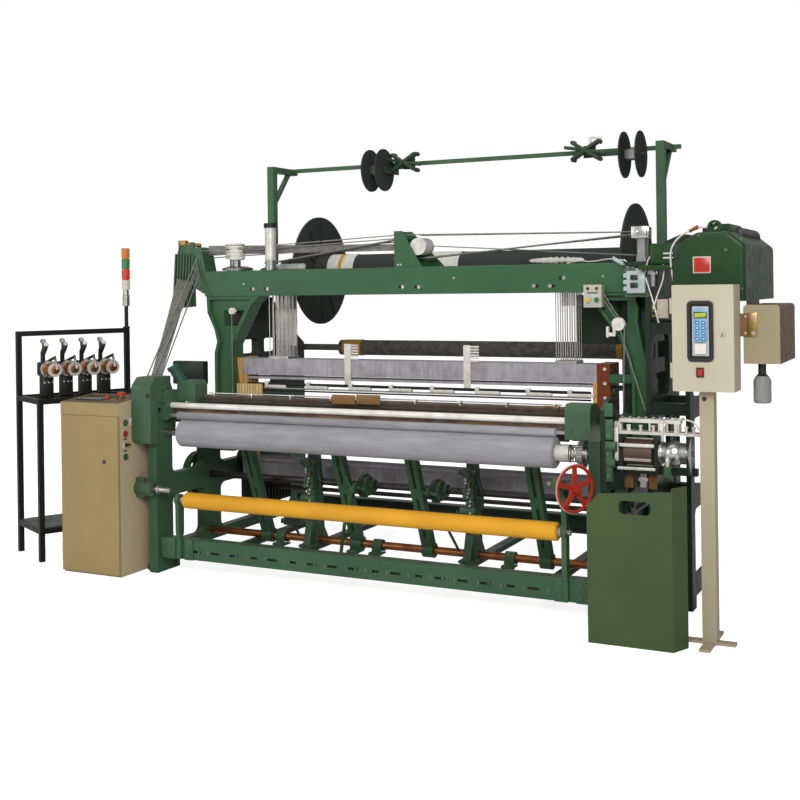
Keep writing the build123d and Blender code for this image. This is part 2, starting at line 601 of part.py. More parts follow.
def warp_upright(x0):
    """A cast upright on a side frame, with its windowed wing and the two roller bearings."""
    shape = outline([(WING_Y0, SIDE_TOP), (SIDE_REAR, SIDE_TOP), (SIDE_REAR, REST_Z + 30),
                     (REST_Y - 30, REST_Z + 90), (UP_Y1, REST_Z + 160), (UP_Y1, WARP_Z),
                     (UP_Y0, WARP_Z), (UP_Y0, WING_TOP - 130), (WING_Y1 + 80, WING_TOP - 90),
                     (WING_Y1, WING_TOP), (WING_Y0, WING_TOP)], 20)
    shape -= window(UP_Y0 + 30, REST_Y - 60, SIDE_TOP + 60, REST_Z + 100, 18)
    for bay in WING_BAYS:
        shape -= window(*bay, 18)
    shape += Pos(WARP_Y, WARP_Z) * Circle(78)
    body = across_x(shape, x0, x0 + SIDE_T)
    body += rod_x(REST_Y, REST_Z, 44, x0, x0 + SIDE_T)
    body -= rod_x(REST_Y, REST_Z, 22 + RUN, x0 - 5, x0 + SIDE_T + 5)
    return body - rod_x(WARP_Y, WARP_Z, 30 + RUN, x0 - 5, x0 + SIDE_T + 5)


# A sheet panel on the right upright closes the bay between the warp sheet and the frame
PANEL_T = 6.0
PANEL_Y = ARCH_Y + ARCH_D + 12.0
panel = block(935, RIGHT_IN + 1, PANEL_Y, PANEL_Y + PANEL_T, 1316, WING_TOP)
panel += block(935, 935 + PANEL_T, PANEL_Y, PANEL_Y + 40, 1316, WING_TOP)
panel += block(935, RIGHT_IN + 1, PANEL_Y, PANEL_Y + 40, 1316, 1316 + PANEL_T)
keep("warp_uprights", together([warp_upright(LOOM_LEFT), warp_upright(RIGHT_IN) + panel]))


def flange_disc(x0, ribs_toward):
    """A warp beam flange: a disc with a rolled rim and radial ribs on its inner side."""
    disc = rod_x(WARP_Y, WARP_Z, FLANGE_R, x0, x0 + FLANGE_T)
    side = x0 + FLANGE_T if ribs_toward > 0 else x0 - 10
    for count in range(12):
        rib = block(side, side + 10, -5, 5, BARREL_R - 8, FLANGE_R - 20)
        disc += Pos(0, WARP_Y, WARP_Z) * Rot(count * 30, 0, 0) * rib
    return disc


warp = flange_disc(FLANGE_X0, 1) + flange_disc(FLANGE_X1, -1)
warp += rod_x(WARP_Y, WARP_Z, BARREL_R, FLANGE_X0 + FLANGE_T, FLANGE_X1)
warp += rod_x(WARP_Y, WARP_Z, 30, LOOM_LEFT, LOOM_RIGHT)
warp += rod_x(WARP_Y, WARP_Z, 62, FLANGE_X0 - 40, FLANGE_X1 + FLANGE_T + 40)
keep("upper_warp_beam", warp)
rest = rod_x(REST_Y, REST_Z, REST_R, -1010, 960) + rod_x(REST_Y, REST_Z, 22, LOOM_LEFT, LOOM_RIGHT)
keep("back_rest_roller", rest)

# Spool gantry: two posts, their arms and struts, and the rail across
GANTRY_POST = 46.0
GANTRY_PX = (-1020.0, 1436.0)
GANTRY_PY = ARCH_Y + ARCH_D - 40.0
GANTRY_FOOT = ARCH_Z1
NECK_TOP = 1762.0


def gantry_side(x, foot):
    """One post with its arm running back to the rail, and the diagonal strut under the arm."""
    half = GANTRY_POST / 2
    body = block(x - half, x + half, GANTRY_PY - half, GANTRY_PY + half, foot,
                 GANTRY_Z + GANTRY_S / 2)
    body += block(x - half, x + half, GANTRY_PY, GANTRY_Y + 60, GANTRY_Z - GANTRY_S,
                  GANTRY_Z + GANTRY_S / 2)
    body += bar((x, GANTRY_PY + 10, GANTRY_Z - 230), (x, GANTRY_Y - 20, GANTRY_Z - 20), 30, 18)
    body += block(x - 60, x + 60, GANTRY_PY - 60, GANTRY_PY + 60, foot, foot + 10)
    return body


gantry = gantry_side(GANTRY_PX[0], GANTRY_FOOT) + gantry_side(GANTRY_PX[1], NECK_TOP)
gantry += block(GANTRY_PX[0] - 50, GANTRY_PX[1] + 60, GANTRY_Y - GANTRY_S / 2,
                GANTRY_Y + GANTRY_S / 2, GANTRY_Z - GANTRY_S / 2, GANTRY_Z + GANTRY_S / 2)
keep("spool_gantry", gantry)

# Spools and the cross-armed brackets beside them
SPOOL_Y = GANTRY_Y - 165.0
SPOOL_Z = GANTRY_Z - 46.0
SPOOL_DISC = 8.0
AXLE_R = 9.0
CROSS_X = (-150.0, 985.0)


def spool(x):
    """Two thin discs on a slim hub."""
    body = rod_x(SPOOL_Y, SPOOL_Z, SPOOL_R, x, x + SPOOL_DISC)
    body += rod_x(SPOOL_Y, SPOOL_Z, SPOOL_R, x + SPOOL_W - SPOOL_DISC, x + SPOOL_W)
    body += rod_x(SPOOL_Y, SPOOL_Z, 24, x, x + SPOOL_W)
    return body - rod_x(SPOOL_Y, SPOOL_Z, AXLE_R + RUN, x - 5, x + SPOOL_W + 5)


def cross_bracket(x, spool_x, toward):
    """A clamp on the rail with four arms, and the spool's axle held in front of the rail."""
    body = block(x - 34, x + 34, GANTRY_Y - GANTRY_S / 2 - 20, GANTRY_Y - GANTRY_S / 2,
                 GANTRY_Z - 34, GANTRY_Z + 34)
    body += rod_y(x, GANTRY_Z, 22, GANTRY_Y - 90, GANTRY_Y - GANTRY_S / 2 - 20)
    for angle in (35, 145, 215, 325):
        tip = (x + 92 * math.cos(math.radians(angle)), GANTRY_Y - 76,
               GANTRY_Z + 84 * math.sin(math.radians(angle)))
        body += bar((x, GANTRY_Y - 76, GANTRY_Z), tip, 16, 12)
        body += rod_y(tip[0], tip[2], 13, GANTRY_Y - 96, GANTRY_Y - 60)
    near = spool_x + SPOOL_W + 6 if toward > 0 else spool_x - 6
    far = x - toward * 33
    body += block(min(near, near + toward * 14), max(near, near + toward * 14),
                  SPOOL_Y - 20, GANTRY_Y - GANTRY_S / 2, SPOOL_Z - 20, SPOOL_Z + 20)
    body += block(min(near, far), max(near, far), GANTRY_Y - GANTRY_S / 2 - 20,
                  GANTRY_Y - GANTRY_S / 2, GANTRY_Z - 30, GANTRY_Z - 6)
    body += rod_x(SPOOL_Y, SPOOL_Z, AXLE_R, spool_x - 12, spool_x + SPOOL_W + 12)
    return body


keep("left_spool", spool(SPOOL_X[0]))
keep("right_spool", spool(SPOOL_X[1]))
keep("spool_brackets", together([cross_bracket(CROSS_X[0], SPOOL_X[0], 1),
                                 cross_bracket(CROSS_X[1], SPOOL_X[1], -1)]))

# Lifting head on the left: a grooved bracket, the guide stack and the tension cylinder
HEAD_X = -1480.0
HEAD_Y = ARCH_Y + 70.0
HEAD_TOP = 1905.0
CORD = 6.0
CORD_HOLE = 7.0
CORD_LEVEL = 1880.0
GUIDE_X = -1215.0
CYL_X = -950.0


def ribbed_post(x, y, z0, z1, radius, ribs):
    """A turned post with raised rings."""
    body = rod_z(x, y, radius, z0, z1)
    for count in range(ribs):
        z = z0 + (z1 - z0) * (count + 0.5) / ribs
        body += rod_z(x, y, radius + 6, z - 6, z + 6)
    return body


head_shape = outline([(LOOM_LEFT, ARCH_Z0 + 10), (LOOM_LEFT, ARCH_Z1), (HEAD_X + 40, HEAD_TOP),
                      (HEAD_X - 10, HEAD_TOP + 14), (HEAD_X - 26, HEAD_TOP - 30),
                      (HEAD_X - 30, ARCH_Z0 + 60)])
head = block(HEAD_X + 36, LOOM_LEFT, HEAD_Y - 60, HEAD_Y + 60, ARCH_Z0 + 20, ARCH_Z1)
for count in range(5):
    rib_y = HEAD_Y - 60 + count * 28
    head += across_y(head_shape, rib_y, rib_y + 8)
stack = rod_z(GUIDE_X, HEAD_Y, 56, ARCH_Z1, ARCH_Z1 + 8)
stack += rod_z(GUIDE_X, HEAD_Y, 24, ARCH_Z1, CORD_LEVEL)
stack += ribbed_post(GUIDE_X, HEAD_Y, CORD_LEVEL - 50, CORD_LEVEL + 36, 46, 4)
cylinder = ribbed_post(CYL_X, HEAD_Y - 20, ARCH_Z1, ARCH_Z1 + 60, 32, 2)
cylinder += rod_z(CYL_X, HEAD_Y - 20, 34, ARCH_Z1 + 60, ARCH_Z1 + 260)
cylinder += rod_z(CYL_X, HEAD_Y - 20, 40, ARCH_Z1 + 260, ARCH_Z1 + 288)
clevis = block(1324, 1374, HEAD_Y + 10, HEAD_Y + 90, NECK_TOP, NECK_TOP + 30)
clevis += block(1330, 1370, HEAD_Y + 10, HEAD_Y + 90, NECK_TOP + 30, 1935)

# Gable plate in the middle of the arch beam
GABLE_X = -85.0
gable = across_y(outline([(GABLE_X, ARCH_Z1), (GABLE_X + 175, ARCH_Z1), (GABLE_X + 50, 1972),
                          (GABLE_X, 1972)]), ARCH_Y + 20, ARCH_Y + 32)
gable += across_y(outline([(GABLE_X, ARCH_Z1), (GABLE_X + 260, ARCH_Z1), (GABLE_X + 50, 1972),
                           (GABLE_X, 1972)]), ARCH_Y + 150, ARCH_Y + 162)
gable += block(GABLE_X, GABLE_X + 12, ARCH_Y + 32, ARCH_Y + 150, ARCH_Z1, 1972)
for z in (1930.0, 1840.0):
    gable += rod_y(GABLE_X + 34, z, 12, ARCH_Y + 32, ARCH_Y + 150)
keep("cord_gable", gable)

# Left gear housing, wrapped round the front corner of the side frame
GEARBOX_X0 = LOOM_LEFT - 62.0
GEARBOX_X1 = LEFT_IN + 16.0
GEARBOX_Y0 = SIDE_FRONT - 70.0
GEARBOX_TOP = 1142.0
gearbox = across_x(outline([(GEARBOX_Y0, 762), (SIDE_FRONT + 40, 742), (230, 790), (250, 960),
                            (190, 1090), (90, GEARBOX_TOP), (GEARBOX_Y0 + 50, GEARBOX_TOP),
                            (GEARBOX_Y0, GEARBOX_TOP - 50)], 34), GEARBOX_X0, LOOM_LEFT)
gearbox += across_x(outline([(GEARBOX_Y0, 762), (SIDE_FRONT, 752), (SIDE_FRONT, SIDE_TOP + 2),
                             (90, SIDE_TOP + 2), (90, GEARBOX_TOP), (GEARBOX_Y0 + 50, GEARBOX_TOP),
                             (GEARBOX_Y0, GEARBOX_TOP - 50)], 0), LOOM_LEFT - 1, GEARBOX_X1)
gearbox -= block(LOOM_LEFT, GEARBOX_X1 + 1, SIDE_FRONT, 300, 700, SIDE_TOP)
gearbox -= rod_x(TAKEUP_Y, TAKEUP_Z, JOURNAL_R + BOSS_WALL, LOOM_LEFT - 12, LOOM_LEFT + 5)
gearbox -= block(LEFT_IN, GEARBOX_X1 + 1, 10, 300, 700, 1061)
gearbox += rod_x(-26, 1026, 30, GEARBOX_X1 - 1, GEARBOX_X1 + 10)
keep("left_gearbox", gearbox)

# Brake box and solenoid on the left breast bracket
BRAKE_X0, BRAKE_X1 = LEFT_IN + BRACKET_T, -1172.0
brake = block(BRAKE_X0, BRAKE_X1, 112, 232, 990, 1112)
brake = chamfer(brake.edges().filter_by(Axis.Y).group_by(Axis.Z)[-1], 22)
brake += block(BRAKE_X1 - 1, BRAKE_X1 + 9, 130, 214, 1000, 1060)
brake += bar((-1288, 150, 1092), (-1332, 120, 1186), 66)
brake += bar((-1328, 122, 1178), (-1338, 116, 1200), 76)
keep("brake_box", brake)

# Dobby stand, its housing and the neck casting at the end of the arch
STAND_X0, STAND_X1 = 1430.0, DOBBY_X0
STAND_Y0, STAND_Y1 = 390.0, 870.0
PLATE_T = 24.0
NECK_T = 24.0


def stand_plate(x0):
    """A side plate of the dobby stand with four windows and two feet."""
    shape = outline([(STAND_Y0, 0), (STAND_Y0 + 90, 0), (STAND_Y0 + 90, 60), (STAND_Y1 - 90, 60),
                     (STAND_Y1 - 90, 0), (STAND_Y1, 0), (STAND_Y1, NECK_TOP - NECK_T),
                     (STAND_Y0, NECK_TOP - NECK_T)])
    for z0, z1 in ((160, 500), (600, 960), (1060, 1380)):
        shape -= window(STAND_Y0 + 80, STAND_Y1 - 80, z0, z1, 40)
    return across_x(shape, x0, x0 + PLATE_T)


dobby_stand = stand_plate(STAND_X0) + stand_plate(STAND_X1 - PLATE_T)
dobby_stand += block(ARCH_X1, STAND_X1, STAND_Y0, STAND_Y1, NECK_TOP - NECK_T, NECK_TOP)
for z in (540, 1010, 1420):
    dobby_stand += block(STAND_X0 + PLATE_T - 1, STAND_X1 - PLATE_T + 1, STAND_Y0 + 6,
                         STAND_Y0 + 66, z - 30, z + 30)
    dobby_stand += block(STAND_X0 + PLATE_T - 1, STAND_X1 - PLATE_T + 1, STAND_Y1 - 66,
                         STAND_Y1 - 6, z - 30, z + 30)
dobby_stand += across_y(outline([(1452, NECK_TOP), (DOBBY_X0, NECK_TOP), (DOBBY_X0, 1892),
                                 (1610, 1892), (1540, 1862)]), STAND_Y0, STAND_Y0 + 180)
keep("dobby_stand", dobby_stand)

shell = outline([(DOBBY_X0, DOBBY_Z0), (DOBBY_X1, DOBBY_Z0), (DOBBY_X1, DOBBY_TOP - 62),
                 (DOBBY_X1 - 74, DOBBY_TOP), (DOBBY_X0 + 116, DOBBY_TOP),
                 (DOBBY_X0 + 28, DOBBY_TOP - 56), (DOBBY_X0, DOBBY_TOP - 146)])
shell = fillet(shell.vertices().sort_by(Axis.Y)[2:], 34)
housing = across_y(shell, DOBBY_Y0, DOBBY_Y1)
housing = fillet(housing.faces().sort_by(Axis.Y)[0].edges().sort_by(Axis.Z)[1:], 20)
housing += across_y(outline([(DOBBY_X0 + 60, DOBBY_TOP - 20), (DOBBY_X1 - 70, DOBBY_TOP - 20),
                             (DOBBY_X1 - 110, DOBBY_TOP + 46), (DOBBY_X0 + 150, DOBBY_TOP + 46)]),
                    DOBBY_Y0 + 210, DOBBY_Y0 + 520)
housing += rod_y(DOBBY_X0 + 190, DOBBY_TOP + 24, 34, DOBBY_Y0 + 60, DOBBY_Y0 + 84) - rod_y(
    DOBBY_X0 + 190, DOBBY_TOP + 30, 17, DOBBY_Y0 + 50, DOBBY_Y0 + 94)
keep("dobby_housing", housing)

# Control box on its post
box_back = block(BOX_X0, BOX_X1, BOX_Y0 + DOOR_T + SLIDE, BOX_Y1, BOX_Z0, BOX_Z1)
box_back -= block(BOX_X0 + 8, BOX_X1 - 8, BOX_Y0, BOX_Y1 - 8, BOX_Z0 + 8, BOX_Z1 - 8)
for x in (BOX_X0 + 50, BOX_X1 - 50):
    box_back += block(x - 20, x + 20, BOX_Y1 - 1, DOBBY_Y0, DOBBY_Z0 + 26, BOX_Z1 - 16)
box_back += block(BOX_X0 + 60, BOX_X1 - 60, BOX_Y1 - 30, BOX_Y1 - 7, BOX_Z0 + 70, BOX_Z1 - 70)
keep("control_box", box_back)

WINDOW_X0, WINDOW_X1 = 1772.0, 1878.0
WINDOW_Z0, WINDOW_Z1 = 1298.0, 1562.0
door = block(BOX_X0, BOX_X1, BOX_Y0, BOX_Y0 + DOOR_T, BOX_Z0, BOX_Z1)
door = fillet(door.edges().filter_by(Axis.Y), 5)
door -= across_y(window(WINDOW_X0, WINDOW_X1, WINDOW_Z0, WINDOW_Z1, 18), BOX_Y0 - 1, BOX_Y0 + 9)
door += across_y(window(WINDOW_X0 - 6, WINDOW_X1 + 6, WINDOW_Z0 - 6, WINDOW_Z1 + 6, 22)
                 - window(WINDOW_X0 + 8, WINDOW_X1 - 8, WINDOW_Z0 + 8, WINDOW_Z1 - 8, 12),
                 BOX_Y0 - 6, BOX_Y0 + 9)
door += across_y(window(WINDOW_X0 + 16, WINDOW_X1 - 16, WINDOW_Z0 + 20, WINDOW_Z1 - 20, 4),
                 BOX_Y0 + 2, BOX_Y0 + 10)
SWITCH_X, SWITCH_Z = 1822.0, 1244.0
SWITCH_W, SWITCH_H = 22.0, 34.0
door -= block(SWITCH_X - SWITCH_W / 2 - FACE, SWITCH_X + SWITCH_W / 2 + FACE, BOX_Y0 - 1,
              BOX_Y0 + 10, SWITCH_Z - SWITCH_H / 2 - FACE, SWITCH_Z + SWITCH_H / 2 + FACE)
door += rod_y(BOX_X1 - 50, 1420, 13, BOX_Y0 - 5, BOX_Y0 + 2)
HINGE_R = 6.0
door += rod_z(BOX_X0 - HINGE_R, BOX_Y0 + HINGE_R, HINGE_R, BOX_Z0 + 60, BOX_Z0 + 130)
door += rod_z(BOX_X0 - HINGE_R, BOX_Y0 + HINGE_R, HINGE_R, BOX_Z1 - 130, BOX_Z1 - 60)
door += block(BOX_X0 - HINGE_R, BOX_X0 + 1, BOX_Y0 + 3, BOX_Y0 + 9, BOX_Z0 + 60, BOX_Z0 + 130)
door += block(BOX_X0 - HINGE_R, BOX_X0 + 1, BOX_Y0 + 3, BOX_Y0 + 9, BOX_Z1 - 130, BOX_Z1 - 60)
keep("control_box_door", door)
switch = block(SWITCH_X - SWITCH_W / 2, SWITCH_X + SWITCH_W / 2, BOX_Y0 - 3, BOX_Y0 + 8,
               SWITCH_Z - SWITCH_H / 2, SWITCH_Z + SWITCH_H / 2)
switch = chamfer(switch.edges().filter_by(Axis.X).group_by(Axis.Y)[0], 2)
keep("power_switch", switch)

POST_Y0, POST_Y1 = -118.0, -53.0
post = block(POST_X0, POST_X1, POST_Y0, POST_Y1, 0, BOX_Z0)
post -= block(POST_X0 + 5, POST_X1 - 5, POST_Y0 + 5, POST_Y1 - 5, 12, BOX_Z0 - 12)
post += block(POST_X0 - 105, POST_X1 + 81, POST_Y0 + 8, POST_Y1 - 8, 0, 12)
post += block(POST_X0 + 8, POST_X1 - 8, POST_Y0 - 120, POST_Y1 + 140, 0, 12)
keep("control_post", post)

# Junction box under the dobby's overhang, with the oil bottle
JUNC_X0, JUNC_X1 = 1984.0, 2146.0
JUNC_Y0, JUNC_Y1 = 0.0, 480.0
JUNC_Z0, JUNC_Z1 = 1275.0, 1545.0
junction = block(JUNC_X0, JUNC_X1, JUNC_Y0, JUNC_Y1, JUNC_Z0, JUNC_Z1)
junction = fillet(junction.edges().filter_by(Axis.Y).group_by(Axis.Z)[-1], 18)
junction += block(JUNC_X0, DOBBY_X1, 90, 410, JUNC_Z1 - 30, DOBBY_Z0)
junction += block(JUNC_X0 - 34, JUNC_X0 + 20, JUNC_Y0 - 8, JUNC_Y0 + 1, 1400, 1506)
junction += block(JUNC_X0 - 34, JUNC_X0 - 26, JUNC_Y0 - 8, JUNC_Y0 + 52, 1400, 1506)
keep("junction_box", junction)
BOTTLE_X, BOTTLE_Y = 2056.0, 60.0
bottle = revolve(plane_y(0) * make_face(Polyline(
    (0, 1092), (34, 1092), (40, 1100), (40, 1196), (30, 1214), (18, 1226), (18, JUNC_Z0),
    (0, JUNC_Z0), close=True)), Axis.Z)
keep("oil_bottle", Pos(BOTTLE_X, BOTTLE_Y, 0) * bottle)

# Button box on the arch and its two buttons
BTN_X0, BTN_X1 = 1072.0, 1172.0
BTN_Y0 = ARCH_Y - 56.0
BTN_Z0, BTN_Z1 = 1526.0, 1646.0
BTN_Z = 1566.0
BTN_X = (1098.0, 1146.0)
BTN_R = 13.0
BTN_TRAVEL = 5.0
button_box = block(BTN_X0, BTN_X1, BTN_Y0, ARCH_Y, BTN_Z0, BTN_Z1)
button_box = fillet(button_box.edges().filter_by(Axis.Z), 4)
button_box -= block(BTN_X0 + 6, BTN_X1 - 6, ARCH_Y - 1, ARCH_Y + 1, BTN_Z0 + 6, ARCH_Z0)
for x in BTN_X:
    button_box += rod_y(x, BTN_Z, BTN_R + 5, BTN_Y0 - 6, BTN_Y0 + 1)
    button_box -= rod_y(x, BTN_Z, BTN_R + RUN, BTN_Y0 - 7, BTN_Y0 + 14)
    button_box += rod_y(x, BTN_Z + 60, 7, BTN_Y0 - 3, BTN_Y0 + 1)
keep("button_box", button_box)
for x, name in zip(BTN_X, ("stop_button", "start_button")):
    cap = rod_y(x, BTN_Z, BTN_R, BTN_Y0 - 12, BTN_Y0 + 8)
    keep(name, chamfer(cap.edges().filter_by(GeomType.CIRCLE).group_by(Axis.Y)[0], 2))

# Sheet guard in front of the right end
GUARD_TOP = 690.0
GUARD_TOP_R = 716.0
GUARD_HOLE = (1473.0, 1619.0, 603.0, 664.0)
guard = outline([(GUARD_X0, 0), (GUARD_X1, 0), (GUARD_X1, GUARD_TOP_R), (GUARD_X0 + 55, GUARD_TOP),
                 (GUARD_X0, GUARD_TOP - 62)])
guard -= window(*GUARD_HOLE, 22)
guard = across_y(guard, GUARD_Y, GUARD_Y + GUARD_T)
FLANGE_IN = 60.0
wing = Plane(origin=(GUARD_X1, GUARD_Y, 0), x_dir=(0.42, 0.907, 0), z_dir=(0, 0, 1))
guard += extrude(wing * Pos(54, GUARD_T / 2) * Rectangle(108, GUARD_T), amount=GUARD_TOP_R + 16)
guard += block(GUARD_X0, GUARD_X0 + GUARD_T, GUARD_Y, GUARD_Y + FLANGE_IN, 0, GUARD_TOP - 62)
guard += block(GUARD_X0, GUARD_X1, GUARD_Y, GUARD_Y + 30, 0, GUARD_T)
for z in (180, 560):
    guard += block(GUARD_X0 + 8, GUARD_X0 + 38, GUARD_Y + GUARD_T - 1, 20, z, z + 26)
    guard += block(LOOM_RIGHT, GUARD_X0 + 9, -10, 20, z, z + 26)
keep("front_guard", guard)

# Transfer drive at the right end: its bracket, rails and drum
DRIVE_Y, DRIVE_Z = 40.0, 842.0
DRUM_X0, DRUM_X1 = 1420.0, 1556.0
DRUM_R = 62.0
HOUSE_X0, HOUSE_X1 = 1588.0, 1716.0
PLATE_X1 = 1784.0
drive = across_x(outline([(-20, 640), (140, 640), (140, 1085), (40, 1085), (-20, 1040)], 10),
                 LOOM_RIGHT, LOOM_RIGHT + 26)
drive += across_y(outline([(LOOM_RIGHT, 700), (1372, 740), (1372, 1010), (LOOM_RIGHT, 1085)]),
                  46, 96)
drive += block(1360, PLATE_X1 - 30, 60, 96, DRIVE_Z - DRUM_R - 47, DRIVE_Z - DRUM_R - 12)
for x0, x1 in ((1396, 1412), (1564, 1580), (HOUSE_X1 + 6, HOUSE_X1 + 22)):
    arm = outline([(DRIVE_Y - 40, 740), (90, DRIVE_Z - DRUM_R - 30), (90, 930),
                   (DRIVE_Y - 40, 930)], 6)
    arm -= Pos(DRIVE_Y, DRIVE_Z) * Circle(14 + RUN)
    drive += across_x(arm, x0, x1)
drive -= rod_x(TAKEUP_Y, TAKEUP_Z, JOURNAL_R + BOSS_WALL + 2, LOOM_RIGHT - 1, LOOM_RIGHT + 14)
drive += rod_x(DRIVE_Y, DRIVE_Z, 50, HOUSE_X0, HOUSE_X1) + rod_x(
    DRIVE_Y, DRIVE_Z, 40, HOUSE_X1 - 1, HOUSE_X1 + 7)
drive -= rod_x(DRIVE_Y, DRIVE_Z, 14 + RUN, 1390, HOUSE_X1 + 30)
keep("transfer_bracket", drive)

rails = block(1396, 1690, 2, 52, 985, 1003) + block(1380, PLATE_X1, -6, 60, 930, 944)
rails += block(1372, 1400, 2, 52, 944, 986) + block(1660, 1684, 2, 52, 943, 986)
for x in (1440, 1500, 1560, 1612, 1716, 1752):
    rails += rod_z(x, 6, 7, 943, 972)
    rails += rod_z(x, 6, 10, 966, 974)
keep("transfer_rails", rails)

drum = rod_x(DRIVE_Y, DRIVE_Z, DRUM_R, DRUM_X0, DRUM_X1)
drum += rod_x(DRIVE_Y, DRIVE_Z, 14, 1390, HOUSE_X1 + 26)
for count in range(6):
    strap = block(DRUM_X0 + 4, DRUM_X1 - 4, -6, 6, DRUM_R - 4, DRUM_R + 5)
    drum += Pos(0, DRIVE_Y, DRIVE_Z) * Rot(60 * count, 0, 0) * strap
keep("transfer_drum", drum)

# Hand wheel with five spokes on its slanting shaft, and the bearing post that carries it
wheel_axis = Vector(math.sin(math.radians(WHEEL_TURN)), -math.cos(math.radians(WHEEL_TURN)), 0)
WHEEL_SHAFT = 190.0
SHAFT_R = 12.0
BEARING_BACK = 118.0


def at_wheel(shape):
    """Places a piece drawn around Z at the hand wheel, with Z along its axis."""
    return Plane(origin=WHEEL_AT, x_dir=(0, 0, 1), z_dir=wheel_axis) * shape


spokes = Circle(24)
for count in range(5):
    spokes += Rot(0, 0, 72 * count) * make_face(Polyline(
        (8, -13), (WHEEL_R - 8, -9), (WHEEL_R - 8, 9), (8, 13), close=True))
hand = extrude(spokes, amount=7, both=True)
rim = Pos(WHEEL_R - 9, 0) * RegularPolygon(9, 8)
hand += revolve(Plane.XZ * rim, Axis.Z)
hand += Pos(0, 0, 4) * Cylinder(22, 36)
hand += Pos(0, 0, -WHEEL_SHAFT / 2) * Cylinder(SHAFT_R, WHEEL_SHAFT)
hand += Pos(WHEEL_R * math.cos(math.radians(216)) * 0.9, WHEEL_R * math.sin(math.radians(216)) * 0.9,
            26) * Cylinder(9, 52)
keep("hand_wheel", at_wheel(hand))
bearing = Plane(origin=Vector(*WHEEL_AT) - wheel_axis * BEARING_BACK, x_dir=(0, 0, 1),
                z_dir=wheel_axis) * Cylinder(30, 54)
bore = Plane(origin=Vector(*WHEEL_AT) - wheel_axis * BEARING_BACK, x_dir=(0, 0, 1),
             z_dir=wheel_axis) * Cylinder(SHAFT_R + RUN, 90)
post_x = CLOTH_POST_X[1]
BEARING_AT = Vector(*WHEEL_AT) - wheel_axis * BEARING_BACK
upright = across_x(outline([(-30, CLOTH_ROLL_Z + 20), (14, CLOTH_ROLL_Z + 20), (14, 640),
                            (-40, WHEEL_AT[2] + 20), (BEARING_AT.Y - 10, WHEEL_AT[2] + 20),
                            (BEARING_AT.Y - 10, WHEEL_AT[2] - 20), (-34, 610)]),
                   post_x - POST_T / 2, post_x + POST_T / 2)
nodes["cloth_brackets"] = together([
    cloth_post(CLOTH_POST_X[0]), cloth_post(CLOTH_POST_X[1]) + upright + bearing - bore])

# Control cabinet, its door and its stop button
cabinet = outline([(CAB_Y0 + 20, 0), (CAB_Y1, 0), (CAB_Y1, CAB_H + 26), (CAB_Y0, CAB_H),
                   (CAB_Y0, CAB_SEAM), (CAB_Y0 + 20, CAB_SEAM)])
cabinet = across_x(cabinet, CAB_X0, CAB_X1)
cabinet -= block(CAB_X0 + CAB_SHEET, CAB_X1 - CAB_SHEET, CAB_Y0 - 1, CAB_Y1 - CAB_SHEET, 30,
                 CAB_SEAM - 10)
cabinet -= block(CAB_X0 + 40, CAB_X1 - 160, CAB_Y0 + 60, CAB_Y1 - 60, CAB_H + 8, CAB_H + 60)
cabinet += block(CAB_X0 + CAB_SHEET, CAB_X1 - CAB_SHEET, CAB_Y1 - 30, CAB_Y1 - CAB_SHEET + 1,
                 120, CAB_SEAM - 86)
BUTTON_Y = CAB_Y0 + 70.0
for down in (117, 180, 313):
    cabinet += rod_x(BUTTON_Y, CAB_H - down, 15, CAB_X1 - 1, CAB_X1 + 9)
cabinet += rod_x(BUTTON_Y, CAB_H - 244, 10, CAB_X1 - 1, CAB_X1 + 14)
STOP_X, STOP_Y = -1570.0, -70.0
STOP_R = 26.0
STOP_Z = CAB_H + 34.0
cabinet += rod_z(STOP_X, STOP_Y, 22, CAB_H, STOP_Z - 9)
cabinet -= rod_z(STOP_X, STOP_Y, 10 + RUN, CAB_H + 4, STOP_Z)
keep("cabinet", cabinet)
cab_door = block(CAB_X0, CAB_X1, CAB_Y0, CAB_Y0 + 20 - SLIDE, 12, CAB_SEAM - 2)
cab_door = fillet(cab_door.edges().filter_by(Axis.Z).group_by(Axis.Y)[0], 4)
cab_door -= block(CAB_X0 + 20, CAB_X1 - 20, CAB_Y0 + 6, CAB_Y0 + 20, 32, CAB_SEAM - 22)
LOCK_Z = CAB_H - 338.0
cab_door += rod_y(CAB_X1 - 98, LOCK_Z, 11, CAB_Y0 - 5, CAB_Y0 + 2)
cab_door += block(CAB_X1 - 104, CAB_X1 - 92, CAB_Y0 + 5, CAB_Y0 + 14, LOCK_Z - 22, LOCK_Z + 22)
keep("cabinet_door", cab_door)
stop = rod_z(STOP_X, STOP_Y, STOP_R, STOP_Z, STOP_Z + 18)
stop = fillet(stop.edges().filter_by(GeomType.CIRCLE).group_by(Axis.Z)[-1], 8)
keep("emergency_stop", stop + rod_z(STOP_X, STOP_Y, 10, STOP_Z - 24, STOP_Z + 2))

# Conduit from the cabinet to the side frame
CONDUIT_R = 6.0
CONDUIT = [(-1530.0, CAB_Y1, 470.0), (-1530.0, CAB_Y1 + 60, 470.0),
           (-1518.0, CAB_Y1 + 112, 410.0), (-1498.0, CAB_Y1 + 122, 330.0),
           (-1482.0, CAB_Y1 + 98, 250.0), (-1470.0, CAB_Y1 + 62, 180.0),
           (-1452.0, CAB_Y1 + 36, 128.0), (LOOM_LEFT, CAB_Y1 + 32, 120.0)]


def tube_path(points):
    """A smooth path of straight runs and arcs as large as the runs allow."""
    radii = []
    for a, b, c in zip(points, points[1:], points[2:]):
        first = Vector(*b) - Vector(*a)
        second = Vector(*c) - Vector(*b)
        turn = math.radians(first.get_angle(second))
        radii.append(0.45 * min(first.length, second.length) / math.tan(turn / 2))
    print("conduit radii", [round(r) for r in radii])
    return FilletPolyline(*points, radius=radii)


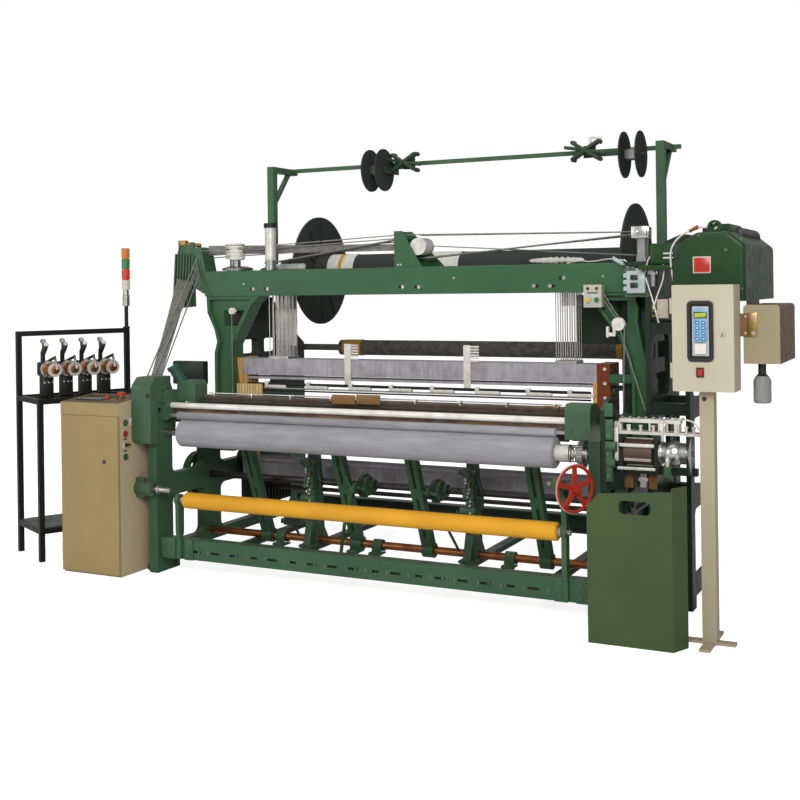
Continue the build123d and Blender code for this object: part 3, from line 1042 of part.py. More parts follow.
path = tube_path(CONDUIT)
conduit = sweep(Plane(origin=path @ 0, z_dir=path % 0) * Circle(CONDUIT_R), path=path)
keep("power_conduit", conduit - nodes["left_side_frame"])

# Feeder stand, drawn square and then turned in plan
TUBE = STAND_TUBE / 2


def stand_place(shape):
    """Moves a piece drawn in the stand's own frame to its place beside the loom."""
    return Pos(STAND_AT[0], STAND_AT[1], 0) * Rot(0, 0, STAND_TURN) * shape


def tube_at(x, y, z0, z1):
    """An upright square tube."""
    return block(x - TUBE, x + TUBE, y - TUBE, y + TUBE, z0, z1)


SHELF_Z = 200.0
SHELF_X1 = STAND_L - 200.0
frame = tube_at(0, 0, 0, STAND_HIGH) + tube_at(STAND_L, 0, 0, STAND_HIGH)
frame += tube_at(0, -STAND_W, 0, STAND_TABLE) + tube_at(STAND_L, -STAND_W, 0, STAND_TABLE)
frame += block(-TUBE, STAND_L + TUBE, -TUBE, TUBE, STAND_HIGH - STAND_TUBE, STAND_HIGH)
for y in (0, -STAND_W, -STAND_W / 2):
    frame += block(-TUBE, STAND_L + TUBE, y - TUBE, y + TUBE, STAND_TABLE - STAND_TUBE,
                   STAND_TABLE)
for x in (0, STAND_L):
    frame += block(x - TUBE, x + TUBE, -STAND_W, 0, STAND_TABLE - STAND_TUBE, STAND_TABLE)
    frame += block(x - TUBE, x + TUBE, -STAND_W, 0, SHELF_Z - STAND_TUBE, SHELF_Z)
for y in (0, -STAND_W):
    frame += block(-TUBE, STAND_L + TUBE, y - TUBE, y + TUBE, SHELF_Z - STAND_TUBE, SHELF_Z)
frame += block(-TUBE, STAND_L + TUBE, -STAND_W, 0, SHELF_Z, SHELF_Z + 4)

# Four weft feeders in a row on the stand
FEEDER_X = [110.0 + 125.0 * count for count in range(4)]
FEEDER_Z = STAND_TABLE + 172.0


def feeder(x):
    """A feeder: motor body on a stem, winding disc, storage drum, exit eye and upright arm."""
    y = -STAND_W / 2
    body = rod_z(x, y, 14, STAND_TABLE, FEEDER_Z - 40)
    body += fillet(block(x - 34, x + 34, y - 40, y + 76, FEEDER_Z - 48, FEEDER_Z + 40)
                   .edges().filter_by(Axis.Y), 14)
    body += rod_y(x, FEEDER_Z, 52, y - 62, y - 39)
    body += rod_y(x, FEEDER_Z, 38, y - 150, y - 61)
    body += rod_y(x, FEEDER_Z, 44, y - 158, y - 149)
    body += bar((x, y + 30, FEEDER_Z + 36), (x, y - 150, FEEDER_Z + 76), 18, 12)
    body += bar((x, y - 150, FEEDER_Z + 84), (x, y - 190, FEEDER_Z + 4), 10, 16)
    body += bar((x, y + 40, FEEDER_Z + 30), (x + 6, y + 74, FEEDER_Z + 168), 14, 14)
    body += rod_y(x + 6, FEEDER_Z + 170, 15, y + 62, y + 86)
    return body


keep("weft_feeders", together([stand_place(feeder(x)) for x in FEEDER_X]))

# Signal pole, welded to the stand, and its lamps
LAMP_Z0 = 1654.0
LAMP_GAP = 8.0
LAMP_H = (POLE_TOP - LAMP_Z0 - 3 * LAMP_GAP) / 4
POLE_BASE = STAND_HIGH
pole = rod_z(STAND_L, 0, POLE_R - 6, POLE_BASE, LAMP_Z0)
pole += rod_z(STAND_L, 0, POLE_R + 4, POLE_BASE, POLE_BASE + 10)
pole += rod_z(STAND_L, 0, POLE_R + 4, LAMP_Z0 - 110, LAMP_Z0 - 38)
pole += rod_z(STAND_L, 0, POLE_R, LAMP_Z0 - 39, LAMP_Z0)
keep("feeder_stand", stand_place(frame + pole))
lamps = rod_z(STAND_L, 0, POLE_R + 8, LAMP_Z0, POLE_TOP)
for count in (1, 2, 3):
    z = LAMP_Z0 + count * (LAMP_H + LAMP_GAP) - LAMP_GAP
    lamps -= rod_z(STAND_L, 0, POLE_R + 20, z, z + LAMP_GAP) - rod_z(
        STAND_L, 0, POLE_R + 4, z - 1, z + LAMP_GAP + 1)
keep("signal_lamps", stand_place(lamps))

# Lifting cords, held tight by the gear housing, the head, the guide stack, the gable and the clevis
held_by = [gearbox, head, gable, clevis]
runs = []
for count in range(4):
    y = HEAD_Y - 45 + count * 28 + 4
    runs.append(((-1452 + count * 26, 20 + (count % 2) * 34, GEARBOX_TOP - 6),
                 (HEAD_X + 6, y, HEAD_TOP - 34)))
    z = CORD_LEVEL + 10 - count * 14
    runs.append(((HEAD_X + 6, y, z), (GABLE_X + 6, ARCH_Y + 50 + count * 26, z + 60 - count * 5)))
for count, (z0, z1) in enumerate(((1952, 1925), (1806, 1908), (1896, 1800))):
    runs.append(((GABLE_X + 8, ARCH_Y + 60 + count * 34, z0),
                 (1340, HEAD_Y + 24 + count * 24, z1)))
cords = []
for start, end in runs:
    cord = bar(start, end, CORD, CORD)
    sleeve = bar(start, end, CORD_HOLE, CORD_HOLE)
    stack -= sleeve
    cylinder -= sleeve
    for holder in held_by:
        cord -= holder
    cords.append(max(cord.solids(), key=lambda solid: solid.volume))
keep("cord_guides", together([head, stack, cylinder, clevis]))
keep("lift_cords", together(cords))

# Everything is written around the middle of the whole machine's footprint
boxes = [solid.bounding_box(optimal=True) for solid in nodes.values()]
low = [min(getattr(box.min, axis) for box in boxes) for axis in "XYZ"]
high = [max(getattr(box.max, axis) for box in boxes) for axis in "XYZ"]
ORIGIN = ((low[0] + high[0]) / 2, (low[1] + high[1]) / 2, low[2])
print("origin", ORIGIN, "size", [b - a for a, b in zip(low, high)])
os.makedirs("parts", exist_ok=True)
for name, solid in nodes.items():
    export_step(solid.moved(Location((-ORIGIN[0], -ORIGIN[1], -ORIGIN[2]))), f"parts/{name}.step")
print(len(nodes), "nodes")
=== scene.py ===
import logging
import math
from dataclasses import dataclass, field
from enum import Enum
from typing import Callable, Iterable, Optional, Sequence

import bmesh
import bpy
from mathutils import Matrix, Vector


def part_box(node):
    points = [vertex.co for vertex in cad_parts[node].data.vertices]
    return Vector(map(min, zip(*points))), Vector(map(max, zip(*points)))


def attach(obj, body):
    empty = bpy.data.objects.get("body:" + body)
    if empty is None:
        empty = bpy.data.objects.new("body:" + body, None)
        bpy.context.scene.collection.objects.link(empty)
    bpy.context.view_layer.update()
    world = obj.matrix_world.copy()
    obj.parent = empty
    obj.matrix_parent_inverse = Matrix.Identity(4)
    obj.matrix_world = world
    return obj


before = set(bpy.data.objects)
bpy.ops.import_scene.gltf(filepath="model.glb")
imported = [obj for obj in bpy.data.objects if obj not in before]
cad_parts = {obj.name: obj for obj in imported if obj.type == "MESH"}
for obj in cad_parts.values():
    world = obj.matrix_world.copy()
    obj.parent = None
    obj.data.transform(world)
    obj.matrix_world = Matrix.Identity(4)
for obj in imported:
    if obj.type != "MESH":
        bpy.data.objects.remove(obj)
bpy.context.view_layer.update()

LOG = logging.getLogger("weaving_machine")
Point = tuple[float, float, float]
MM = 0.001
# The arch beam's low corner in the machine's own millimetres: left end, front face, underside
ARCH_LOW = Vector((-1410.0, 550.0, 1605.0)) * MM
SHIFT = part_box("arch_beam")[0] - ARCH_LOW
# Faces that meet at less than this stay smooth, on the scene's own pieces and on the CAD nodes
PIECE_SMOOTH = math.radians(35)
NODE_SMOOTH = math.radians(32)
# Edges sharper than this are rounded
ROUNDED_FROM = math.radians(40)


def place(x: float, y: float, z: float) -> Vector:
    """Turns a point in the machine's millimetres into the frame's metres.

    Args:
        x: along the loom, to the right.
        y: from the weaver's side to the back.
        z: height over the floor.

    Returns:
        The point in the frame.
    """
    return Vector((x, y, z)) * MM + SHIFT


# Finishes


class Sheet:
    """A material's node tree while it is being drawn."""

    def __init__(self, name: str) -> None:
        """Starts an empty tree with a shader and an output.

        Args:
            name: the material's name.
        """
        self.material = bpy.data.materials.new(name)
        self.material.use_nodes = True
        self.tree = self.material.node_tree
        self.tree.nodes.clear()
        self.out = self.tree.nodes.new("ShaderNodeOutputMaterial")
        self.shader = self.tree.nodes.new("ShaderNodeBsdfPrincipled")
        self.tree.links.new(self.shader.outputs[0], self.out.inputs[0])
        self.coord = self.tree.nodes.new("ShaderNodeTexCoord").outputs["Object"]

    def node(self, kind: str, **values: object) -> bpy.types.Node:
        """Adds a node and sets its fields and sockets.

        Args:
            kind: Blender's node name after "ShaderNode".
            values: fields of the node, or sockets by name with spaces as underscores.

        Returns:
            The node.
        """
        made = self.tree.nodes.new("ShaderNode" + kind)
        for key, value in values.items():
            name = key.replace("_", " ")
            if name in made.inputs:
                self.feed(made.inputs[name], value)
            else:
                setattr(made, key, value)
        return made

    def feed(self, socket: bpy.types.NodeSocket, value: object) -> None:
        """Links or sets a socket, whichever the value calls for."""
        if isinstance(value, bpy.types.NodeSocket):
            self.tree.links.new(value, socket)
        else:
            socket.default_value = value

    def stretched(self, scale: Sequence[float]) -> bpy.types.NodeSocket:
        """Object coordinates scaled by a different amount along each axis."""
        return self.node("Mapping", Vector=self.coord, Scale=tuple(scale)).outputs[0]

    def noise(self, scale: float, detail: float = 3.0,
              where: Optional[bpy.types.NodeSocket] = None) -> bpy.types.NodeSocket:
        """A noise value.

        Args:
            scale: how fine it is, per metre.
            detail: octaves.
            where: the coordinates, or the object's own when left out.

        Returns:
            The noise's factor socket.
        """
        return self.node("TexNoise", Vector=where or self.coord, Scale=scale,
                         Detail=detail).outputs["Fac"]

    def ramp(self, value: bpy.types.NodeSocket, low: float, high: float) -> bpy.types.NodeSocket:
        """Stretches the range from low to high over 0 to 1."""
        return self.node("MapRange", Value=value, From_Min=low, From_Max=high).outputs[0]

    def maths(self, how: str, first: object, second: object = 0.0) -> bpy.types.NodeSocket:
        """One step of arithmetic on two values."""
        made = self.node("Math", operation=how)
        self.feed(made.inputs[0], first)
        self.feed(made.inputs[1], second)
        return made.outputs[0]

    def mix(self, amount: object, first: object, second: object) -> bpy.types.NodeSocket:
        """Two colours mixed by an amount."""
        made = self.node("Mix", data_type="RGBA")
        self.feed(made.inputs["Factor"], amount)
        for socket, value in ((made.inputs[6], first), (made.inputs[7], second)):
            self.feed(socket, value if isinstance(value, bpy.types.NodeSocket) else rgba(value))
        return made.outputs[2]

    def colour(self, value: object) -> None:
        """Sets the shader's base colour."""
        socket = self.shader.inputs["Base Color"]
        self.feed(socket, value if isinstance(value, bpy.types.NodeSocket) else rgba(value))

    def set(self, **values: object) -> None:
        """Sets sockets of the shader, by name with spaces as underscores."""
        for key, value in values.items():
            self.feed(self.shader.inputs[key.replace("_", " ")], value)

    def bump(self, height: bpy.types.NodeSocket, strength: float, depth: float) -> None:
        """Raises the surface by a height value."""
        made = self.node("Bump", Height=height, Strength=strength, Distance=depth)
        self.tree.links.new(made.outputs[0], self.shader.inputs["Normal"])

    def upward(self) -> bpy.types.NodeSocket:
        """1 where the surface faces up and 0 where it faces sideways or down."""
        normal = self.node("NewGeometry").outputs["Normal"]
        up = self.node("SeparateXYZ", Vector=normal).outputs[2]
        return self.ramp(up, 0.35, 0.95)


def rgba(colour: Sequence[float]) -> tuple[float, float, float, float]:
    """A colour with its alpha."""
    return (colour[0], colour[1], colour[2], 1.0)


Colour = tuple[float, float, float]


@dataclass(frozen=True)
class Finish:
    """What every finish has: a name, the record's slot and a way to make its material once."""

    name: str
    slot: str

    def draw(self, sheet: Sheet) -> None:
        """Draws the finish's nodes."""
        raise NotImplementedError

    def material(self) -> bpy.types.Material:
        """The finish's material, made on its first use."""
        title = self.name + "_finish"
        found = bpy.data.materials.get(title)
        if found:
            return found
        sheet = Sheet(title)
        self.draw(sheet)
        return sheet.material


@dataclass(frozen=True)
class Paint(Finish):
    """Machine paint: shade drifts, dust on level faces and specks."""

    colour: Colour
    shade: Colour
    dust: Colour = (0.30, 0.27, 0.20)
    dusty: float = 0.35
    rough: float = 0.38
    peel: float = 0.12
    coat: float = 0.06
    grain: float = 420.0
    speck: float = 0.25
    shine: float = 0.25

    def draw(self, sheet: Sheet) -> None:
        """Draws the paint."""
        drift = sheet.ramp(sheet.noise(2.6, 4.0), 0.35, 0.68)
        base = sheet.mix(drift, self.colour, self.shade)
        specks = sheet.ramp(sheet.noise(95.0, 5.0), 0.60, 0.74)
        marked = sheet.mix(sheet.maths("MULTIPLY", specks, self.speck), base,
                           tuple(c * 0.35 for c in self.shade))
        smear = sheet.ramp(sheet.noise(11.0, 6.0), 0.30, 0.72)
        dust = sheet.maths("MULTIPLY", sheet.maths("MULTIPLY", sheet.upward(), smear), self.dusty)
        sheet.colour(sheet.mix(dust, marked, self.dust))
        worn = sheet.ramp(sheet.noise(19.0, 5.0), 0.2, 0.85)
        sheet.set(Roughness=sheet.node("MapRange", Value=worn, To_Min=self.rough - 0.10,
                                       To_Max=self.rough + 0.20).outputs[0])
        sheet.set(Coat_Weight=self.coat, Coat_Roughness=0.18, Specular_IOR_Level=self.shine)
        sheet.bump(sheet.noise(self.grain, 3.0), self.peel, 0.0012)


@dataclass(frozen=True)
class Metal(Finish):
    """Bare metal, brushed along one axis, with stains."""

    colour: Colour
    stain: Colour
    stained: float = 0.35
    rough: float = 0.30
    along: Colour = (6.0, 260.0, 260.0)
    metallic: float = 1.0

    def draw(self, sheet: Sheet) -> None:
        """Draws the metal."""
        lines = sheet.noise(1.0, 4.0, sheet.stretched(self.along))
        blots = sheet.ramp(sheet.noise(14.0, 6.0), 0.42, 0.70)
        base = sheet.mix(sheet.ramp(lines, 0.3, 0.7), self.colour,
                         tuple(c * 0.72 for c in self.colour))
        amount = sheet.maths("MULTIPLY", blots, self.stained)
        sheet.colour(sheet.mix(amount, base, self.stain))
        sheet.set(Metallic=self.metallic)
        sheet.set(Roughness=sheet.node("MapRange", Value=sheet.maths("ADD", lines, amount),
                                       To_Min=self.rough - 0.08, To_Max=self.rough + 0.22,
                                       From_Max=1.4).outputs[0])
        sheet.bump(lines, 0.10, 0.0006)


@dataclass(frozen=True)
class Weave(Finish):
    """Woven mesh wound on a roll: two sets of threads, one round it and one along it."""

    colour: Colour
    shade: Colour
    centre: tuple[float, float]
    turns: float = 150.0
    pitch: float = 0.0034

    def draw(self, sheet: Sheet) -> None:
        """Draws the weave round the roll's own axis."""
        parts = sheet.node("SeparateXYZ", Vector=sheet.coord).outputs
        high = sheet.maths("SUBTRACT", parts[2], self.centre[1])
        deep = sheet.maths("SUBTRACT", parts[1], self.centre[0])
        angle = sheet.maths("ARCTAN2", high, deep)
        round_it = sheet.maths("SINE", sheet.maths("MULTIPLY", angle, self.turns))
        step = 2 * math.pi / self.pitch
        along_it = sheet.maths("SINE", sheet.maths("MULTIPLY", parts[0], step))
        cross = sheet.maths("MULTIPLY", round_it, along_it)
        fold = sheet.noise(1.0, 5.0, sheet.stretched((5.0, 26.0, 26.0)))
        soft = sheet.noise(210.0, 3.0)
        tone = sheet.maths("ADD", sheet.maths("MULTIPLY", cross, 0.16), fold)
        tone = sheet.maths("ADD", sheet.maths("MULTIPLY", soft, 0.35), tone)
        sheet.colour(sheet.mix(sheet.ramp(tone, 0.46, 0.86), self.colour, self.shade))
        sheet.set(Roughness=0.72, Sheen_Weight=0.25, Sheen_Roughness=0.4)
        sheet.bump(sheet.maths("ADD", cross, sheet.maths("MULTIPLY", fold, 3.0)), 0.30, 0.0010)


@dataclass(frozen=True)
class Timber(Finish):
    """Varnished wood with its grain along one axis."""

    colour: Colour
    shade: Colour
    along: Colour = (160.0, 160.0, 9.0)

    def draw(self, sheet: Sheet) -> None:
        """Draws the grain."""
        grain = sheet.noise(1.0, 8.0, sheet.stretched(self.along))
        sheet.colour(sheet.mix(sheet.ramp(grain, 0.32, 0.70), self.colour, self.shade))
        sheet.set(Roughness=0.42, Coat_Weight=0.3, Coat_Roughness=0.2)
        sheet.bump(grain, 0.16, 0.0006)


@dataclass(frozen=True)
class Moulded(Finish):
    """Moulded plastic or rubber with a fine skin and handling marks."""

    colour: Colour
    rough: float = 0.38
    skin: float = 900.0
    glow: float = 0.0

    def draw(self, sheet: Sheet) -> None:
        """Draws the plastic."""
        marks = sheet.noise(38.0, 5.0)
        sheet.colour(sheet.mix(sheet.ramp(marks, 0.35, 0.80), self.colour,
                               tuple(c * 0.72 for c in self.colour)))
        sheet.set(Roughness=sheet.node("MapRange", Value=marks, To_Min=self.rough - 0.08,
                                       To_Max=self.rough + 0.14).outputs[0])
        if self.glow:
            sheet.set(Emission_Strength=self.glow, Emission_Color=rgba(self.colour))
        sheet.bump(sheet.noise(self.skin, 2.0), 0.06, 0.0005)


@dataclass(frozen=True)
class Threads(Finish):
    """Bunched thread, cord or paper: fine lines along one axis in uneven greys."""

    colour: Colour
    shade: Colour
    along: Colour = (700.0, 700.0, 18.0)
    rough: float = 0.85

    def draw(self, sheet: Sheet) -> None:
        """Draws the threads."""
        lines = sheet.noise(1.0, 4.0, sheet.stretched(self.along))
        blots = sheet.noise(24.0, 4.0)
        tone = sheet.maths("ADD", lines, sheet.maths("MULTIPLY", blots, 0.5))
        sheet.colour(sheet.mix(sheet.ramp(tone, 0.50, 0.96), self.colour, self.shade))
        sheet.set(Roughness=self.rough)
        sheet.bump(lines, 0.35, 0.0012)


FRAME_GREEN = Paint("frame_green", "frame_green", (0.046, 0.112, 0.052), (0.034, 0.084, 0.041),
                    dusty=0.30)
BEAM_GREEN = Paint("beam_green", "frame_green", (0.038, 0.113, 0.046), (0.032, 0.095, 0.040),
                   dusty=0.12)
DARK_GREEN = Paint("dark_green", "dark_green", (0.014, 0.052, 0.012), (0.010, 0.038, 0.010),
                   dusty=0.08, rough=0.36, coat=0.10, shine=0.2)
DEEP_GREEN = Paint("deep_green", "frame_green", (0.026, 0.062, 0.032), (0.018, 0.040, 0.022),
                   dusty=0.35)
STAND_GREEN = Paint("stand_green", "frame_green", (0.013, 0.028, 0.015),
                    (0.009, 0.018, 0.010), dusty=0.20)
BOLT_GREEN = Paint("bolt_green", "frame_green", (0.090, 0.150, 0.100), (0.050, 0.095, 0.060),
                   dusty=0.10, speck=0.5)
HOUSING_GREEN = Paint("housing_green", "frame_green", (0.060, 0.122, 0.066),
                      (0.044, 0.092, 0.046), dusty=0.16)
GUARD_GREEN = Paint("guard_green", "guard_green", (0.050, 0.081, 0.027), (0.043, 0.071, 0.024),
                    dusty=0.0, grain=240.0, peel=0.45, speck=0.35)
TEAL_GREEN = Paint("teal_green", "teal_green", (0.026, 0.090, 0.068), (0.020, 0.064, 0.048),
                   dusty=0.25)
SHELF_GREEN = Paint("shelf_green", "dark_green", (0.020, 0.042, 0.022), (0.014, 0.030, 0.016))
CABINET_TAN = Paint("cabinet_tan", "cabinet_tan", (0.350, 0.262, 0.115), (0.300, 0.222, 0.094),
                    dusty=0.0, grain=160.0, peel=0.30, speck=0.25, rough=0.48)
# A lighter copy of the cabinet's tan for its side faces: painted light
CABINET_LIT_SIDE = Paint("cabinet_lit_side", "cabinet_tan", (0.500, 0.400, 0.250),
                     (0.450, 0.360, 0.220), dusty=0.0, grain=160.0, peel=0.30, rough=0.48)
BOX_CREAM = Paint("box_cream", "box_cream", (0.510, 0.466, 0.360), (0.460, 0.415, 0.310),
                  dusty=0.04, grain=260.0, peel=0.22, speck=0.08)
POST_CREAM = Paint("post_cream", "box_cream", (0.400, 0.340, 0.235), (0.340, 0.280, 0.185),
                   dusty=0.04, speck=0.10)
# A dark brown for the junction box's sides, taken where they lie in shade: painted shade
JUNCTION_SHADED_SIDE = Paint("junction_shaded_side", "cabinet_tan", (0.120, 0.066, 0.020),
                     (0.088, 0.048, 0.014), speck=0.2, dusty=0.05)
JUNCTION_FRONT = Paint("junction_front", "box_cream", (0.340, 0.285, 0.180),
                       (0.300, 0.250, 0.155), dusty=0.04, speck=0.15)
BROWN_TOP = Paint("brown_top", "cabinet_tan", (0.120, 0.078, 0.034), (0.085, 0.054, 0.024))
BROWN_PLATE = Paint("brown_plate", "guide_wood", (0.230, 0.120, 0.040), (0.140, 0.068, 0.024),
                    speck=0.6, dusty=0.3)
RED_POST = Paint("red_post", "guide_wood", (0.200, 0.045, 0.015), (0.130, 0.028, 0.010),
                 speck=0.4, dusty=0.12, rough=0.30)
BRASS = Metal("brass", "copper_shaft", (0.40, 0.27, 0.09), (0.18, 0.09, 0.04), 0.5, 0.34)
BLACK_PAINT = Paint("black_paint", "black_paint", (0.008, 0.008, 0.009), (0.014, 0.014, 0.014),
                    dusty=0.06)
FLANGE_BLACK = Paint("flange_black", "black_paint", (0.034, 0.038, 0.036),
                     (0.046, 0.052, 0.048), dusty=0.03, rough=0.80, coat=0.0, shine=0.1)
WHEEL_RED = Paint("wheel_red", "red_paint", (0.420, 0.024, 0.008), (0.310, 0.018, 0.006),
                  dusty=0.10, rough=0.30)
WORN_RIM = Paint("worn_rim", "red_paint", (0.560, 0.470, 0.400), (0.340, 0.110, 0.080),
                 dusty=0.0, speck=0.6)
ORANGE_ROLL = Paint("orange_roll", "orange_roll", (0.740, 0.360, 0.017),
                    (0.620, 0.285, 0.012), dusty=0.0, rough=0.50, grain=120.0, peel=0.20)
STEEL = Metal("steel", "steel", (0.60, 0.59, 0.56), (0.22, 0.17, 0.11), 0.45, 0.32)
BRIGHT_STEEL = Metal("bright_steel", "steel", (0.80, 0.79, 0.75), (0.40, 0.34, 0.25), 0.3, 0.22)
DARK_STEEL = Metal("dark_steel", "dark_steel", (0.10, 0.10, 0.10), (0.10, 0.06, 0.03), 0.5, 0.40)
DRUM_BROWN = Metal("drum_brown", "dark_steel", (0.13, 0.085, 0.06), (0.05, 0.03, 0.02), 0.5,
                   0.45, metallic=0.5)
RUSTY_SHAFT = Metal("rusty_shaft", "copper_shaft", (0.52, 0.20, 0.075), (0.12, 0.045, 0.02),
                    0.75, 0.36)
RUSTY_BEAM = Metal("rusty_beam", "dark_steel", (0.20, 0.14, 0.095), (0.08, 0.045, 0.025), 0.7,
                   0.50, metallic=0.5)
RACE_STEEL = Metal("race_steel", "dark_steel", (0.26, 0.22, 0.17), (0.10, 0.06, 0.035), 0.6,
                   0.42, metallic=0.6)
CAST_ALLOY = Metal("cast_alloy", "steel", (0.46, 0.46, 0.45), (0.12, 0.11, 0.09), 0.6, 0.34,
                   (90.0, 90.0, 90.0))
TUBE_WHITE = Metal("tube_white", "steel", (0.94, 0.92, 0.86), (0.50, 0.42, 0.32), 0.45, 0.40,
                   metallic=0.25)
WHITE_METAL = Metal("white_metal", "steel", (0.78, 0.76, 0.70), (0.36, 0.30, 0.22), 0.55, 0.40,
                    metallic=0.35)
HEALD_METAL = Metal("heald_metal", "heald_aluminium", (0.45, 0.435, 0.47),
                    (0.27, 0.235, 0.24), 0.7, 0.42, (60.0, 60.0, 8.0), metallic=0.30)
STRUT_WOOD = Timber("strut_wood", "guide_wood", (0.66, 0.44, 0.15), (0.44, 0.22, 0.05))
PALE_WOOD = Timber("pale_wood", "guide_wood", (0.76, 0.62, 0.32), (0.58, 0.42, 0.18))
RED_PLASTIC = Moulded("red_plastic", "red_plastic", (0.50, 0.022, 0.016), 0.25)
YELLOW_PLASTIC = Moulded("yellow_plastic", "yellow_plastic", (0.72, 0.50, 0.04), 0.28)
GREEN_PLASTIC = Moulded("green_plastic", "green_plastic", (0.030, 0.150, 0.045), 0.28)
BLACK_PLASTIC = Moulded("black_plastic", "black_plastic", (0.012, 0.011, 0.010), 0.40)
GREY_PLASTIC = Moulded("grey_plastic", "grey_plastic", (0.26, 0.26, 0.25), 0.45)
WHITE_PLASTIC = Moulded("white_plastic", "grey_plastic", (0.74, 0.71, 0.64), 0.45)
LAMP_RED = Moulded("lamp_red", "lamp_plastic", (0.70, 0.040, 0.020), 0.20, glow=0.12)
LAMP_AMBER = Moulded("lamp_amber", "lamp_plastic", (0.62, 0.185, 0.020), 0.20, glow=0.12)
LAMP_GREEN = Moulded("lamp_green", "lamp_plastic", (0.045, 0.220, 0.060), 0.20, glow=0.10)
SCREEN_GREEN = Moulded("screen_green", "grey_plastic", (0.36, 0.42, 0.03), 0.20, glow=0.15)
PANEL_BLUE = Moulded("panel_blue", "grey_plastic", (0.20, 0.40, 0.58), 0.35)
KEY_BLUE = Moulded("key_blue", "grey_plastic", (0.025, 0.17, 0.42), 0.35)
PANEL_GREY = Moulded("panel_grey", "grey_plastic", (0.44, 0.49, 0.50), 0.35)
CORD_GREY = Threads("cord_grey", "grey_cord", (0.30, 0.29, 0.26), (0.11, 0.105, 0.095),
                    (30.0, 700.0, 700.0))
HARNESS = Threads("harness", "grey_cord", (0.50, 0.49, 0.45), (0.16, 0.155, 0.145))
WARP_FRAY = Threads("warp_fray", "dark_steel", (0.20, 0.19, 0.165), (0.030, 0.028, 0.022),
                    (500.0, 60.0, 60.0))
PAPER = Threads("paper", "grey_plastic", (0.72, 0.70, 0.66), (0.54, 0.51, 0.47),
                (40.0, 40.0, 40.0))
TAPE = Threads("orange_tape", "orange_roll", (0.62, 0.33, 0.04), (0.44, 0.20, 0.02),
               (60.0, 60.0, 60.0))


# Mesh making


class Axis(Enum):
    """The axis that a turned shape stands on."""

    X = "x"
    Y = "y"
    Z = "z"

    def spread(self, along: float, first: float, second: float) -> Vector:
        """A vector from its part along the axis and its two parts across it."""
        if self is Axis.X:
            return Vector((along, first, second))
        if self is Axis.Y:
            return Vector((second, along, first))
        return Vector((first, second, along))


